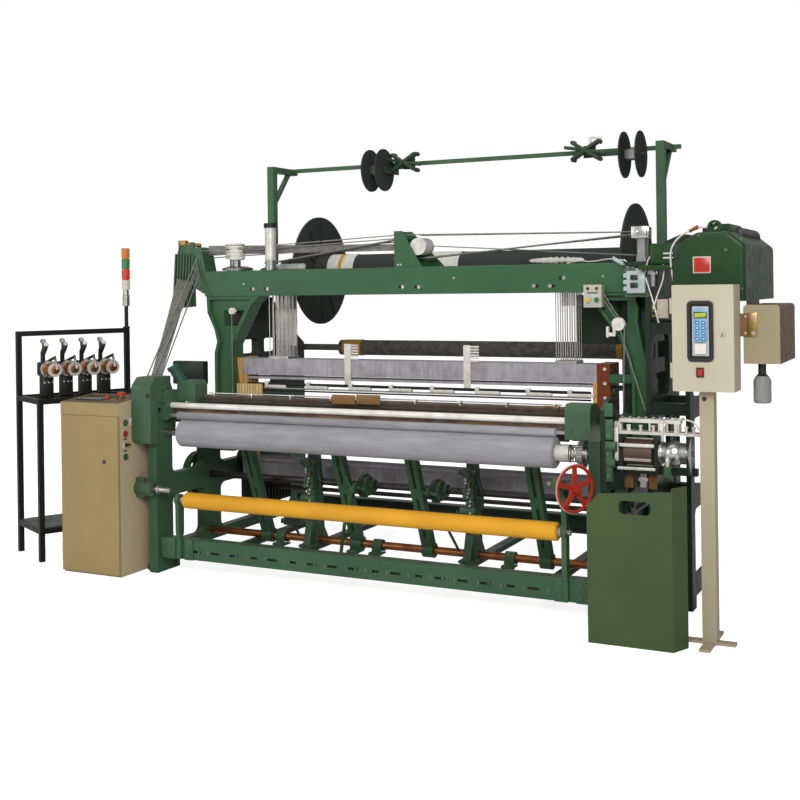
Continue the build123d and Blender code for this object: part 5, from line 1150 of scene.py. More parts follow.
@dataclass
class Shed(Assembly):
    """Heald frames with their struts, guide rod with clips, harness and hangers."""

    rod_at: tuple[float, float] = (600.0, 1046.0)
    harness_y: float = 772.0

    def dress(self) -> None:
        """Pale aluminium rails between wooden end struts."""
        wear(HEALD_METAL, "heald_frame_1", "heald_frame_2", "heald_frame_3", "heald_frame_4",
             zones=[(lambda c: c.z > 1218, STEEL),
                    (lambda c: c.x < -1149 or c.x > 1077, STRUT_WOOD)])
        wear(STRUT_WOOD, "heald_guides",
             zones=[(lambda c: c.x > 1110 or c.y > 700 and c.x > 0, RED_POST),
                    (lambda c: c.x < -1200, BROWN_PLATE)])

    def build(self) -> None:
        """The rods with clips and the white hangers, then the harness and the guides."""
        y, z = self.rod_at
        rod = Smith("heald_1_guide_rod", BLACK_PAINT, "heald_1")
        rod.rod((-1140, y + 14, z + 14), (1070, y + 14, z + 14), 9)
        rod.rod((-1140, y + 16, z - 26), (1070, y + 16, z - 26), 5)
        rod.done()
        (Smith("heald_1_lower_rod", STEEL, "heald_1")
         .rod((-1140, y + 14, z - 12), (1070, y + 14, z - 12), 5)
         .done())
        clips = Smith("heald_1_clips", WHITE_PLASTIC, "heald_1")
        for x in (-1010, -715, -420, -150, 115, 395, 700, 940):
            clips.block(x, x + 150, y + 4, y + 24, z - 8, z + 10, 3)
            clips.block(x, x + 26, y + 2, y + 22, z + 8, z + 30, 3)
        clips.done()
        strips = Smith("heald_1_hangers", WHITE_PLASTIC, "heald_1")
        for x in (-452, 322):
            strips.block(x, x + 44, 616, 620.5, 1062, 1312, 1.5)
            for n in range(6):
                strips.block(x + 44, x + 96, 616.5, 619.5, 1218 + n * 16, 1228 + n * 16, 0.8)
        strips.done()
        self.harness()
        self.guides()

    def harness(self) -> None:
        """The sheets of harness wires under the beam's ends, the left one with its paper."""
        at = self.harness_y
        for name, x, low in (("left", -942, 1216), ("right", 921, 1530)):
            self.kit.rods.row(f"{name}_harness_wires", "frame", HARNESS, 46,
                              (x - 62, at, (low + 1604) / 2), (2.7, 0, 0),
                              (1.8, 1.8, 1604 - low), scatter=(1, 3.5, 0))
        (Smith("left_harness_paper", PAPER)
         .block(-1012, -872, at - 13, at - 9, 1290, 1520, 1.2)
         .done())

    def guides(self) -> None:
        """Bolts of the guide blocks, the left comb and the right block's arm."""
        bolts = [(1178, y_at, z_at) for y_at in (640, 740) for z_at in (952, 1186)]
        bolt_heads("guide_bolts", bolts, Axis.X, 1, 13)
        bolt_heads("post_bolts", [(1150, 608, z_at) for z_at in (958, 1036, 1114, 1192)],
                   Axis.Y, -1, 13, finish=WHITE_METAL)
        comb = Smith("left_comb_back", STRUT_WOOD)
        comb.block(-1211, -1022, 595, 602.5, 944, 1060, 2)
        comb.block(-1211, -1154, 600, 609, 944, 1060, 1)
        comb.done()
        self.kit.boxes.row("left_comb_bars", "frame", PALE_WOOD, 9, (-1198, 591, 1002),
                           (20.6, 0, 0), (12, 9, 112))
        arm = Smith("guide_arm", HOUSING_GREEN)
        arm.rod((1178, 690, 1082), (1296, 690, 1092), 15, 18, 3)
        arm.rod((1172, 690, 1070), (1186, 690, 1070), 30, 24, 4)
        arm.done()


@dataclass
class Arch(Assembly):
    """The arch beam, its legs and what is fixed to its face."""

    face: float = 550.0

    def dress(self) -> None:
        """Green paint, a shade bluer on the beam."""
        wear(BEAM_GREEN, "arch_beam", "left_arch_leg", "right_arch_leg", "cord_gable", wide=1.5)

    def build(self) -> None:
        """Slots with bolts, screws, the wraps on its top, pulleys and the air valve."""
        self.face_bolts()
        self.wraps()
        self.pulleys()
        self.valve()

    def face_bolts(self) -> None:
        """Slots with bolts and small screws on the beam's face."""
        holes = Smith("arch_slots", BLACK_PAINT)
        heads = []
        for x, z, way in ((-1050, 1647, -1), (-948, 1646, -1), (-27, 1648, -1), (75, 1646, -1),
                          (782, 1643, 1), (874, 1642, 1), (942, 1685, -1)):
            holes.rod((x + way * 13, self.face - 0.8, z), (x + way * 13, self.face + 1, z), 10)
            heads.append((float(x - way * 6), self.face - 0.5, float(z)))
        holes.done()
        bolt_heads("arch_bolts", heads, Axis.Y, -1, 15, finish=STEEL)
        bolt_heads("arch_screws", [(-1115, 549.5, 1679), (301, 549.5, 1694),
                                   (1165, 549.5, 1690), (-60, 569.5, 1776),
                                   (-42, 569.5, 1776)], Axis.Y, -1, 9,
                   finish=STEEL)

    def wraps(self) -> None:
        """The gable's drum, and the white and crumpled wraps that lie on the beam."""
        gaskets = Smith("gable_drums", PAPER)
        gaskets.turned(Axis.Y, (62, 0, 1880), [(584, 20), (584, 50), (700, 50), (700, 20)])
        gaskets.turned(Axis.X, (0, 700, 1781.5), [(-983, 12), (-980, 19), (-880, 19),
                                                  (-872, 17), (-864, 19), (-770, 19),
                                                  (-766, 12)], 24)
        gaskets.done()
        wrap = Smith("crumpled_wrap", PAPER)
        bumps = [(701 + n * 16, 9 + 13 * abs(math.sin(n * 1.7)) * math.sin(n / 6.5))
                 for n in range(1, 20)]
        wrap.turned(Axis.X, (0, 690, 1784), [(701, 3), *bumps, (1020, 3)], 9)
        wrap.done()
        cable = [(930, 660, 1764), (990, 650, 1782), (1080, 640, 1768),
                 (1190, 620, 1790), (1270, 610, 1772)]
        self.kit.tubes.run("beam_wire", "frame", WHITE_PLASTIC, [cable], 3)

    def pulleys(self) -> None:
        """The cord pulleys under the beam's ends, with their brackets and tight cords."""
        wheels = Smith("cord_pulleys", WHITE_PLASTIC)
        for x, y, z, r in ((1253, 525, 1437, 35), (-1199, 542, 1512, 20)):
            wheels.turned(Axis.Y, (x, y, z), [(-12, r - 12), (-12, r), (-7, r), (-3, r - 6),
                                              (3, r - 6), (7, r), (12, r), (12, r - 12)])
            wheels.rod((x, y - 18, z), (x, y + 36, z), 9)
        wheels.block(1186, 1236, 518, 532, 1372, 1392, 3)
        wheels.block(1186, 1200, 516, 548, 1366, 1424, 3)
        wheels.block(1222, 1238, 516, 534, 1386, 1430, 3)
        wheels.done()
        cords = [[(1284, 525, 1437), (1305, 430, 1240), (1330, 320, 1010)],
                 [(1262, 525, 1404), (1360, 420, 1180), (1440, 330, 1008)],
                 [(1240, 525, 1470), (1190, 530, 1530), (1150, 536, 1600)],
                 [(1256, 525, 1472), (1210, 530, 1535), (1168, 536, 1604)],
                 [(-1203, 540, 1495), (-1206, 545, 1235), (-1208, 550, 975)]]
        self.kit.tubes.run("pulley_cords", "frame", CORD_GREY, cords, 3)

    def valve(self) -> None:
        """The air valve and regulator on the front of the gear's stand, with bent pipes."""
        body = Smith("valve_block", PANEL_GREY)
        body.block(1345, 1440, 352, 388, 1600, 1714, 4)
        for n in range(3):
            body.block(1329, 1347, 350, 384, 1612 + n * 34, 1634 + n * 34, 3)
        body.done()
        face = Smith("valve_coils", BLACK_PLASTIC)
        for z in (1628, 1668):
            face.block(1366, 1404, 342, 354, z, z + 26, 3)
        face.done()
        (Smith("valve_plate", HOUSING_GREEN)
         .block(1326, 1456, 386, 391, 1580, 1730, 2)
         .done())
        bowl = Smith("regulator", CAST_ALLOY)
        bowl.turned(Axis.Z, (1482, 366, 0), [(1630, 8), (1634, 16), (1690, 19), (1692, 25),
                                             (1724, 25), (1726, 13), (1748, 13),
                                             (1750, 8)])
        bowl.block(1456, 1508, 346, 389.5, 1694, 1718, 3)
        bowl.done()
        (Smith("regulator_cap", BRASS)
         .rod((1482, 366, 1748), (1482, 366, 1762), 7, 14, 1.5)
         .done())
        pipes = [[(1440, 366, 1700), (1452, 350, 1775), (1500, 345, 1800),
                  (1545, 340, 1745), (1538, 336, 1665), (1505, 334, 1585),
                  (1485, 334, 1520)],
                 [(1440, 366, 1680), (1470, 338, 1610), (1490, 334, 1540),
                  (1512, 334, 1450)],
                 [(1290, 520, 1775), (1340, 430, 1745), (1400, 374, 1714),
                  (1440, 366, 1708)]]
        self.kit.tubes.run("air_pipes", "frame", WHITE_PLASTIC, pipes, 3.8)
        lever = Smith("clear_fitting", PANEL_GREY)
        lever.rod((1222, 540, 1786), (1280, 530, 1752), 11, 16, 2)
        lever.rod((1280, 530, 1752), (1356, 528, 1704), 5, 10)
        lever.done()


@dataclass
class Warp(Assembly):
    """The warp beam and back rest on their uprights."""

    beam: tuple[float, float] = (1500.0, 1767.0)

    def dress(self) -> None:
        """Black flanges and a dark barrel."""
        wear(FLANGE_BLACK, "upper_warp_beam", zones=[
            (lambda c: c.x < -1150 or c.x > 1120, STEEL)])
        wear(WARP_FRAY, "back_rest_roller", zones=[
            (lambda c: c.x < -1300 or c.x > 1210, DARK_STEEL)])
        wear(STAND_GREEN, "warp_uprights")

    def build(self) -> None:
        """Paper sleeves and tape on the barrel, tape on the back rest and flange bolts."""
        y, z = self.beam
        sleeves = Smith("barrel_papers", PAPER, "warp_beam")
        for x0, x1 in ((-1011, -811), (-333, -43)):
            sleeves.turned(Axis.X, (0, y, z), [(x0, 104), (x0, 108), (x0 + 6, 109.5),
                                               (x1 - 6, 109.5), (x1, 108), (x1, 104)], 48)
        sleeves.done()
        (Smith("barrel_tape", TAPE, "warp_beam")
         .turned(Axis.X, (0, y, z), [(-925, 108), (-925, 110.4), (-898, 110.4), (-898, 108)], 48)
         .done())
        wraps = Smith("back_rest_tapes", TAPE, "back_rest")
        for x0, x1 in ((-978, -838), (950, 1040)):
            wraps.turned(Axis.X, (0, 1585, 1235), [(x0, 51.5), (x0, 54.5), (x1, 55.5),
                                                   (x1, 51.5)], 40)
        wraps.done()
        for side, x, out in (("left", -1125, -1), ("right", 1091, 1)):
            ring = [(x, y + 210 * math.cos(a * math.pi / 4 + 0.3),
                     z + 210 * math.sin(a * math.pi / 4 + 0.3)) for a in range(8)]
            bolt_heads(f"{side}_flange_bolts", ring, Axis.X, out, 20, "warp_beam")


@dataclass
class Gantry(Assembly):
    """The spool rail with its posts, brackets and spools."""

    brackets: tuple[float, float] = (-150.0, 985.0)
    rail: tuple[float, float] = (930.0, 2400.0)

    def dress(self) -> None:
        """Green rail, black spools."""
        wear(FRAME_GREEN, "spool_gantry", wide=1)
        wear(FLANGE_BLACK, "left_spool", "right_spool")
        wear(DEEP_GREEN, "spool_brackets")

    def build(self) -> None:
        """Wire on the spools, foot bolts, the brackets' arms and knobs, and the pale guide."""
        for name, body, x in (("left", "spool_left", -346), ("right", "spool_right", 1222)):
            self.kit.rods.row(f"{name}_spool_wire", body, STEEL, 26, (x + 12, 785, 2354),
                              (2.9, 0, 0), (66, 66, 2.6), turn=(0, 90, 0))
        feet = [(x + dx, 740 + dy, z) for x, z in ((-1020, 1772), (1436, 1772))
                for dx in (-46, 46) for dy in (-46, 46)]
        bolt_heads("gantry_foot_bolts", feet, Axis.Z, 1, 15)
        arms = Smith("cross_arms", DEEP_GREEN)
        knobs = Smith("clamp_knobs", DARK_STEEL)
        for x in self.brackets:
            knobs.rod((x, 828, self.rail[1]), (x, 844, self.rail[1]), 15, 12, 3)
            for angle in (35, 145, 215, 325):
                tip = (x + 92 * math.cos(math.radians(angle)),
                       self.rail[1] + 84 * math.sin(math.radians(angle)))
                knobs.rod((tip[0], 826, tip[1]), (tip[0], 836, tip[1]), 8, 6)
                arms.rod((x, 830, self.rail[1]), (tip[0], 830, tip[1]), 11, 14, 2)
            arms.rod((x - 118, 832, self.rail[1] + 22), (x + 118, 832, self.rail[1] - 20),
                     10, 14, 2)
        knobs.done()
        arms.done()
        guide = [(1000, 842, 2420), (1024, 846, 2452), (1000, 850, 2470),
                 (1036, 850, 2472), (1078, 850, 2462)]
        self.kit.tubes.run("spool_guide", "frame", WHITE_PLASTIC, [guide], 6.5)


@dataclass
class LeftEnd(Assembly):
    """Gear housing, brake and the lifting head."""

    motor: tuple[float, float] = (-46.0, 492.0)

    def dress(self) -> None:
        """Green housing, teal brake, alloy head."""
        wear(HOUSING_GREEN, "left_gearbox", wide=1.5)
        wear(HOUSING_GREEN, "brake_box", zones=[(lambda c: c.z > 1120, TEAL_GREEN)], wide=1.5)
        wear(CAST_ALLOY, "cord_guides",
             zones=[(lambda c: c.x < -1400, FRAME_GREEN),
                    (lambda c: -1290 < c.x < -1140 and c.z > 1829, WHITE_PLASTIC),
                    (lambda c: -1000 < c.x < -900 and 1820 < c.z < 2020, WHITE_METAL),
                    (lambda c: -1000 < c.x < -900 and c.z > 2019, BLACK_PAINT)])
        wear(CORD_GREY, "lift_cords")

    def build(self) -> None:
        """Cover bolts and plugs, the low motor and its shaft, then the head, stack and bands."""
        bolt_heads("gearbox_bolts", [(-1472, y, z) for y, z in ((-60, 800), (-60, 1060),
                                                                (60, 1100), (160, 1060))],
                   Axis.X, -1)
        bolt_heads("gearbox_front_bolts", [(x, -100, z) for x in (-1452, -1344)
                                           for z in (790, 1010)], Axis.Y, -1, 15)
        holes = Smith("gearbox_plugs", BLACK_PLASTIC)
        holes.rod((-1352, -101.5, 1040), (-1352, -98, 1040), 14, 20, 1)
        holes.rod((-1325, 20, 990), (-1321, 20, 990), 16, 20, 1)
        holes.done()
        y, z = self.motor
        motor = Smith("low_motor", HOUSING_GREEN)
        motor.block(-1500, -1420, -64, -30, 438, 556, 6)
        motor.rod((-1500, y, z), (-1360, y, z), 40, 28, 5)
        motor.block(-1430, -1352, -70, -28, 452, 470, 3)
        motor.done()
        stub = Smith("low_shaft", STEEL)
        stub.rod((-1360, y, z), (-1238, y, z - 2), 17, 20, 2)
        stub.rod((-1330, y, z), (-1316, y, z), 27, 20, 2)
        stub.done()
        self.head()
        self.guide_stack()
        self.bands()

    def head(self) -> None:
        """The lifting head's lever, bolts, ribbed plate and cap, and the fan of tight cords."""
        head = Smith("head_fittings", DEEP_GREEN)
        head.rod((-1505, 640, 1860), (-1562, 620, 1905), 10, 14, 3)
        head.rod((-1562, 620, 1905), (-1600, 610, 1920), 14, 14, 4)
        for z in (1700, 1750, 1800, 1850):
            head.rod((-1500, 553, z), (-1500, 566, z), 11, 12, 2)
        head.done()
        bolt_heads("head_bolts", [(-1460, 560, z) for z in (1660, 1712, 1764, 1816)],
                   Axis.Y, -1, 16)
        plate = Smith("head_rib_plate", FRAME_GREEN)
        plate.prism(Axis.Y, [(1946, -1622), (1950, -1508), (1540, -1500),
                             (1530, -1640), (1740, -1668)], 572, 584, 3)
        plate.done()
        self.kit.boxes.row("head_ribs", "frame", HOUSING_GREEN, 7, (-1648, 563, 1712),
                           (22, 0, 0), (8, 22, 330), turn=(0, 4, 0))
        cap = Smith("head_cap", BRASS)
        cap.block(-1626, -1566, 566, 600, 1926, 1962, 6)
        cap.rod((-1560, 580, 1938), (-1470, 600, 1928), 12, 16, 3)
        cap.done()
        cords = []
        for n in range(8):
            cords.append([(-1622 + n * 13, 556, 1716 - n * 3),
                          (-1530 + n * 11, 310, 1430),
                          (-1438 + n * 9, 52, 1148)])
        self.kit.tubes.run("gear_cord_fan", "frame", CORD_GREY, cords, 5)

    def guide_stack(self) -> None:
        """The ribbed white stack that leads the cords, on its foot."""
        stack = Smith("guide_stack", WHITE_PLASTIC)
        ribs = []
        for n in range(7):
            ribs += [(1838 + n * 14, 50), (1840 + n * 14, 62), (1848 + n * 14, 62),
                     (1850 + n * 14, 50)]
        stack.turned(Axis.Z, (-1245, 650, 0), ribs, 36)
        stack.done()
        foot = Smith("guide_stack_foot", CAST_ALLOY)
        foot.rod((-1245, 650, 1786), (-1245, 650, 1840), 34, 28, 4)
        foot.turned(Axis.Z, (-1228, 650, 0), [(1764, 60), (1766, 96), (1778, 98), (1790, 60)])
        foot.done()

    def bands(self) -> None:
        """The tight cords that run side by side over the beam, and the clevis that ends them."""
        runs = (((-910, 628, 1812), (-80, 628, 1926), 11, (0, 7.2, 0)),
                ((-1440, 640, 1896), (-80, 640, 1880), 8, (0, 0, -7.5)),
                ((60, 640, 1946), (1330, 650, 1925), 9, (0, 7.2, 0)),
                ((100, 636, 1812), (1330, 646, 1914), 9, (0, 7.2, 0)))
        paths = []
        for start, end, count, step in runs:
            for n in range(count):
                shift = Vector(step) * (n - (count - 1) / 2)
                a, b = Vector(start) + shift, Vector(end) + shift * 0.6
                paths.append([tuple(a), tuple((a + b) / 2), tuple(b)])
        self.kit.tubes.run("cord_bands", "frame", CORD_GREY, paths, 3.4)
        clevis = Smith("band_clevis", BRIGHT_STEEL)
        for low in (612, 676):
            clevis.block(1302, 1392, low, low + 8, 1890, 1954, 6)
        clevis.block(1380, 1396, 612, 684, 1894, 1950, 4)
        clevis.rod((1330, 606, 1922), (1330, 690, 1922), 11, 20, 2)
        clevis.done()


@dataclass
class RightEnd(Assembly):
    """Transfer drive, guard, hand wheel and their rails."""

    drive: tuple[float, float] = (40.0, 842.0)
    wheel: Point = (1223.0, -162.0, 678.0)
    wheel_hub: float = 12.0
    wheel_rim: tuple[float, float] = (115.0, 130.0)
    wheel_reach: float = 128.0

    def dress(self) -> None:
        """Green guard with a fine grain, pale rails and a dark drum."""
        y, z = self.drive
        wear(GUARD_GREEN, "front_guard")
        wear(STAND_GREEN, "transfer_bracket", zones=[
            (lambda c: c.x > 1586 and math.hypot(c.y - y, c.z - z) < 51, CAST_ALLOY)])
        wear(WHITE_METAL, "transfer_rails")
        wear(DRUM_BROWN, "transfer_drum", zones=[
            (lambda c: math.hypot(c.y - y, c.z - z) > 63.5, WHITE_METAL)])
        hub = Vector(self.wheel)
        wear(WHEEL_RED, "hand_wheel", zones=[
            (lambda c: not self.wheel_hub <= (c - hub).length <= self.wheel_reach, STEEL),
            (lambda c: self.wheel_rim[0] < (c - hub).length < self.wheel_rim[1], WORN_RIM)],
             wide=1.2)

    def build(self) -> None:
        """Ball, ribs, plates, pipes and screws of the transfer drive."""
        y, z = self.drive
        ball = Smith("drive_ball", BRIGHT_STEEL)
        ball.turned(Axis.X, (1652, y, z), [(60 * math.cos(math.radians(a)),
                                            60 * math.sin(math.radians(a)))
                                           for a in range(172, 7, -12)], 36)
        ball.rod((1586, y, z), (1600, y, z), 56, 32, 2)
        ball.done()
        plates = Smith("drive_plates", WHITE_METAL)
        plates.block(1404, 1572, -34, -22, 872, 888, 3)
        plates.block(1392, 1576, -30, -18, 762, 776, 3)
        plates.block(1470, 1500, 97, 104, 660, 790, 2)
        plates.block(1460, 1508, 96, 101, 690, 706, 2)
        plates.block(1376, 1396, -20, 0, 800, 960, 4)
        plates.block(1600, 1612, -12, 0, 900, 1000, 3)
        plates.done()
        brown = Smith("drive_brown_plate", BROWN_PLATE)
        brown.block(1512, 1552, 97, 103, 655, 790, 2)
        brown.block(1392, 1436, 97, 103, 655, 780, 2)
        brown.done()
        self.kit.rods.row("drive_screws", "frame", WHITE_METAL, 8, (1408, -8, 962),
                          (44, 0, 0), (10, 10, 38), scatter=(8, 4, 6))
        self.kit.hexes.row("drive_nuts", "frame", STEEL, 9, (1410, 20, 1008),
                           (36, 0, 0), (17, 17, 10), scatter=(6, 8, 0))
        pipe = [(1640, 30, 1006), (1720, 20, 1008), (1768, 10, 985),
                (1792, 0, 935)]
        self.kit.tubes.run("drive_pipe", "frame", WHITE_PLASTIC, [pipe], 4.5)
        self.drive_castings()

    def drive_castings(self) -> None:
        """Castings, stem and bolts beside the drive, and the air terminal."""
        feet = Smith("drive_castings", FRAME_GREEN)
        feet.block(1330, 1372, -26, -6, 1010, 1075, 5)
        feet.block(1338, 1376, -40, -18, 900, 1000, 8)
        feet.rod((1340, -30, 870), (1392, -30, 870), 26, 24, 4)
        feet.rod((1344, -30, 790), (1384, -30, 790), 22, 24, 4)
        feet.block(1338, 1372, -40, -16, 700, 860, 6)
        feet.rod((1630, -10, 730), (1630, -10, 784), 20, 6, 2)
        feet.done()
        (Smith("drive_stem", WHITE_METAL)
         .rod((1630, -10, 784), (1630, -10, 826), 10, 14, 1.5)
         .done())
        bolt_heads("drive_bolts", [(1355, -40, z_at) for z_at in (728, 832, 922, 980)],
                   Axis.Y, -1, 15)
        (Smith("air_terminal", BOX_CREAM)
         .block(1500, 1558, 346, 389.5, 1473, 1569, 3)
         .done())
        prongs = Smith("air_prongs", BRASS)
        for n in range(4):
            prongs.rod((1470, 366, 1484 + n * 25), (1502, 366, 1484 + n * 25), 5, 12)
        prongs.done()


@dataclass
class Dobby(Assembly):
    """The lifting gear's housing and its stand."""

    front: float = 30.0

    def dress(self) -> None:
        """Glossy dark green."""
        wear(DARK_GREEN, "dobby_housing", wide=2)
        wear(STAND_GREEN, "dobby_stand", wide=1)

    def build(self) -> None:
        """The bare badge, the plug and the screws, then the gear, the pipe and the shelf."""
        (Smith("bare_badge_edge", BOX_CREAM)
         .block(1752, 1836, self.front - 3.5, self.front + 0.5, 1693, 1772, 1.5)
         .done())
        (Smith("bare_badge", RED_PLASTIC)
         .block(1758, 1830, self.front - 4.2, self.front - 2.5, 1699, 1766, 0.8)
         .done())
        (Smith("housing_plug", BLACK_PLASTIC)
         .turned(Axis.Y, (1672, 0, 1779), [(22, 5), (22, 13), (31, 14), (31, 5)], 24)
         .done())
        screws = [(x, self.front, z) for x, z in ((1975, 1850), (1975, 1620), (1780, 1872),
                                                  (1905, 1800))]
        bolt_heads("housing_screws", screws, Axis.Y, -1, 10)
        self.top_gear()
        self.pipework()
        self.shelf()

    def top_gear(self) -> None:
        """The cover's ribbed roll, its block and the lifting eye."""
        top = Smith("top_gear", BLACK_PAINT)
        top.rod((1905, 330, 1880), (1905, 800, 1880), 30, 20, 4)
        for n in range(7):
            top.rod((1905, 360 + n * 64, 1880), (1905, 384 + n * 64, 1880), 38, 20,
                    3)
        top.block(1740, 1800, 300, 520, 1872, 1922, 12)
        top.done()
        eye = Smith("lifting_eye", DARK_GREEN)
        eye.turned(Axis.Y, (1850, 120, 1902), [(-14, 12), (-14, 26), (-6, 31), (6, 31),
                                               (14, 26), (14, 12)], 28)
        eye.block(1814, 1886, 96, 144, 1866, 1894, 6)
        eye.done()
        (Smith("lifting_eye_nut", STEEL)
         .rod((1850, 104, 1902), (1850, 98, 1902), 12, 6)
         .done())

    def pipework(self) -> None:
        """The white pipe over the housing with its brass and red joint."""
        cable = [(1800, 250, 1912), (1740, 268, 1926), (1690, 280, 1906),
                 (1630, 286, 1880), (1586, 290, 1820), (1584, 300, 1740),
                 (1592, 320, 1660)]
        self.kit.tubes.run("housing_pipe", "frame", WHITE_PLASTIC, [cable], 5)
        (Smith("pipe_joint", BRASS)
         .rod((1712, 274, 1916), (1684, 281, 1903), 9, 6, 1)
         .done())
        (Smith("pipe_joint_ring", RED_PLASTIC)
         .rod((1728, 270, 1922), (1712, 274, 1916), 10, 14, 1)
         .done())

    def shelf(self) -> None:
        """The shelf beside the housing with its bare rating plate."""
        seat = Smith("dobby_shelf", DARK_GREEN)
        seat.block(1420, 1640, 300, 392, 1716, 1740, 4)
        seat.block(1470, 1640, 330, 392, 1740, 1850, 14)
        seat.done()
        plate = Smith("rating_plate", WHITE_METAL)
        for n in range(2):
            plate.block(1540, 1590, 327.5, 330.5, 1772 + n * 22, 1780 + n * 22, 0.8)
        plate.done()


@dataclass
class Controls(Assembly):
    """Control box, its post, the junction box and the small button box."""

    front: float = -176.0

    def dress(self) -> None:
        """Cream boxes, a dark window and coloured buttons, with painted shade on the junction
        box's sides.
        """
        wear(BOX_CREAM, "control_box", "button_box", wide=0.8)
        wear(BOX_CREAM, "control_box_door", zones=[
            (lambda c: 1787 < c.x < 1863 and 1317 < c.z < 1543 and c.y < -165,
             PANEL_GREY),
            (lambda c: 1765 < c.x < 1885 and 1291 < c.z < 1569, BLACK_PLASTIC),
            (lambda c: abs(c.x - 1923) < 15 and abs(c.z - 1420) < 15 and c.y < -176.5,
             BRIGHT_STEEL)], wide=0.6)
        wear(POST_CREAM, "control_post", wide=0.8)
        # The junction box's sides take the dark brown, which is painted shade; its front keeps
        # the cream
        wear(JUNCTION_SHADED_SIDE, "junction_box", zones=[
            (lambda c: c.x < 2006 and c.y < -0.5, BROWN_PLATE),
            (lambda c: c.y < 5, JUNCTION_FRONT)], wide=1)
        wear(RED_PLASTIC, "power_switch")
        wear(GREY_PLASTIC, "oil_bottle", zones=[(lambda c: c.z > 1216, BLACK_PLASTIC)])
        wear(YELLOW_PLASTIC, "stop_button")
        wear(GREEN_PLASTIC, "start_button")

    def build(self) -> None:
        """Screen, keys, sticker, lock and the switch's frame, then the small fittings."""
        y = self.front
        (Smith("key_field", PANEL_BLUE, "box_door")
         .block(1796, 1856, y - 0.6, y + 2.4, 1382, 1530, 0.8)
         .done())
        buttons = Smith("keys", KEY_BLUE, "box_door")
        for x in (1803, 1831):
            for n in range(4):
                buttons.block(x, x + 19, y - 2.2, y - 0.4, 1388 + n * 24, 1405 + n * 24, 0.8)
        buttons.done()
        marks = Smith("key_marks", WHITE_PLASTIC, "box_door")
        for x in (1803, 1831):
            for n in range(4):
                marks.block(x + 5, x + 14, y - 2.8, y - 2, 1394 + n * 24, 1399 + n * 24, 0.3)
        marks.block(1800, 1850, y - 1.2, y + 2, 1326, 1374, 0.8)
        marks.done()
        (Smith("display_glass", SCREEN_GREEN, "box_door")
         .block(1801, 1851, y - 2, y + 1, 1493, 1513, 0.8)
         .done())
        rim = Smith("display_rim", BLACK_PLASTIC, "box_door")
        rim.block(1797, 1855, y - 1.4, y + 1, 1488, 1518, 0.8)
        rim.rod((1923, y - 5.6, 1420), (1923, y - 4, 1420), 3, 12)
        rim.block(1921.8, 1924.2, y - 5.6, y - 4, 1408, 1420, 0.2)
        for x0, x1, z0, z1 in ((1805, 1811, 1222, 1266), (1833, 1839, 1222, 1266),
                               (1810, 1834, 1222, 1227), (1810, 1834, 1261, 1266)):
            rim.block(x0, x1, y - 0.6, y + 6, z0, z1, 0.6)
        rim.rod((1828, -119, 1120), (1828, -116, 1120), 11, 18, 1)
        rim.done()
        self.fittings()

    def fittings(self) -> None:
        """The junction box's bracket and the small button box's face."""
        Smith("box_bracket", BRASS).block(2004.5, 2046, -4, 0.5, 1398, 1510, 1).done()
        bolt_heads("box_bracket_screws", [(x, -5, z) for x in (1996, 2030)
                                          for z in (1416, 1492)], Axis.Y, -1, 12,
                   finish=STEEL)
        (Smith("button_plate", PANEL_GREY)
         .block(1080, 1164, 492.6, 494.5, 1536, 1596, 0.6)
         .done())
        caps = Smith("button_lamps", BLACK_PLASTIC)
        for x in (1098, 1146):
            caps.rod((x, 486, 1626), (x, 492, 1626), 8, 18, 1)
        caps.block(1092, 1152, 493, 494.6, 1600, 1606, 0.4)
        caps.done()


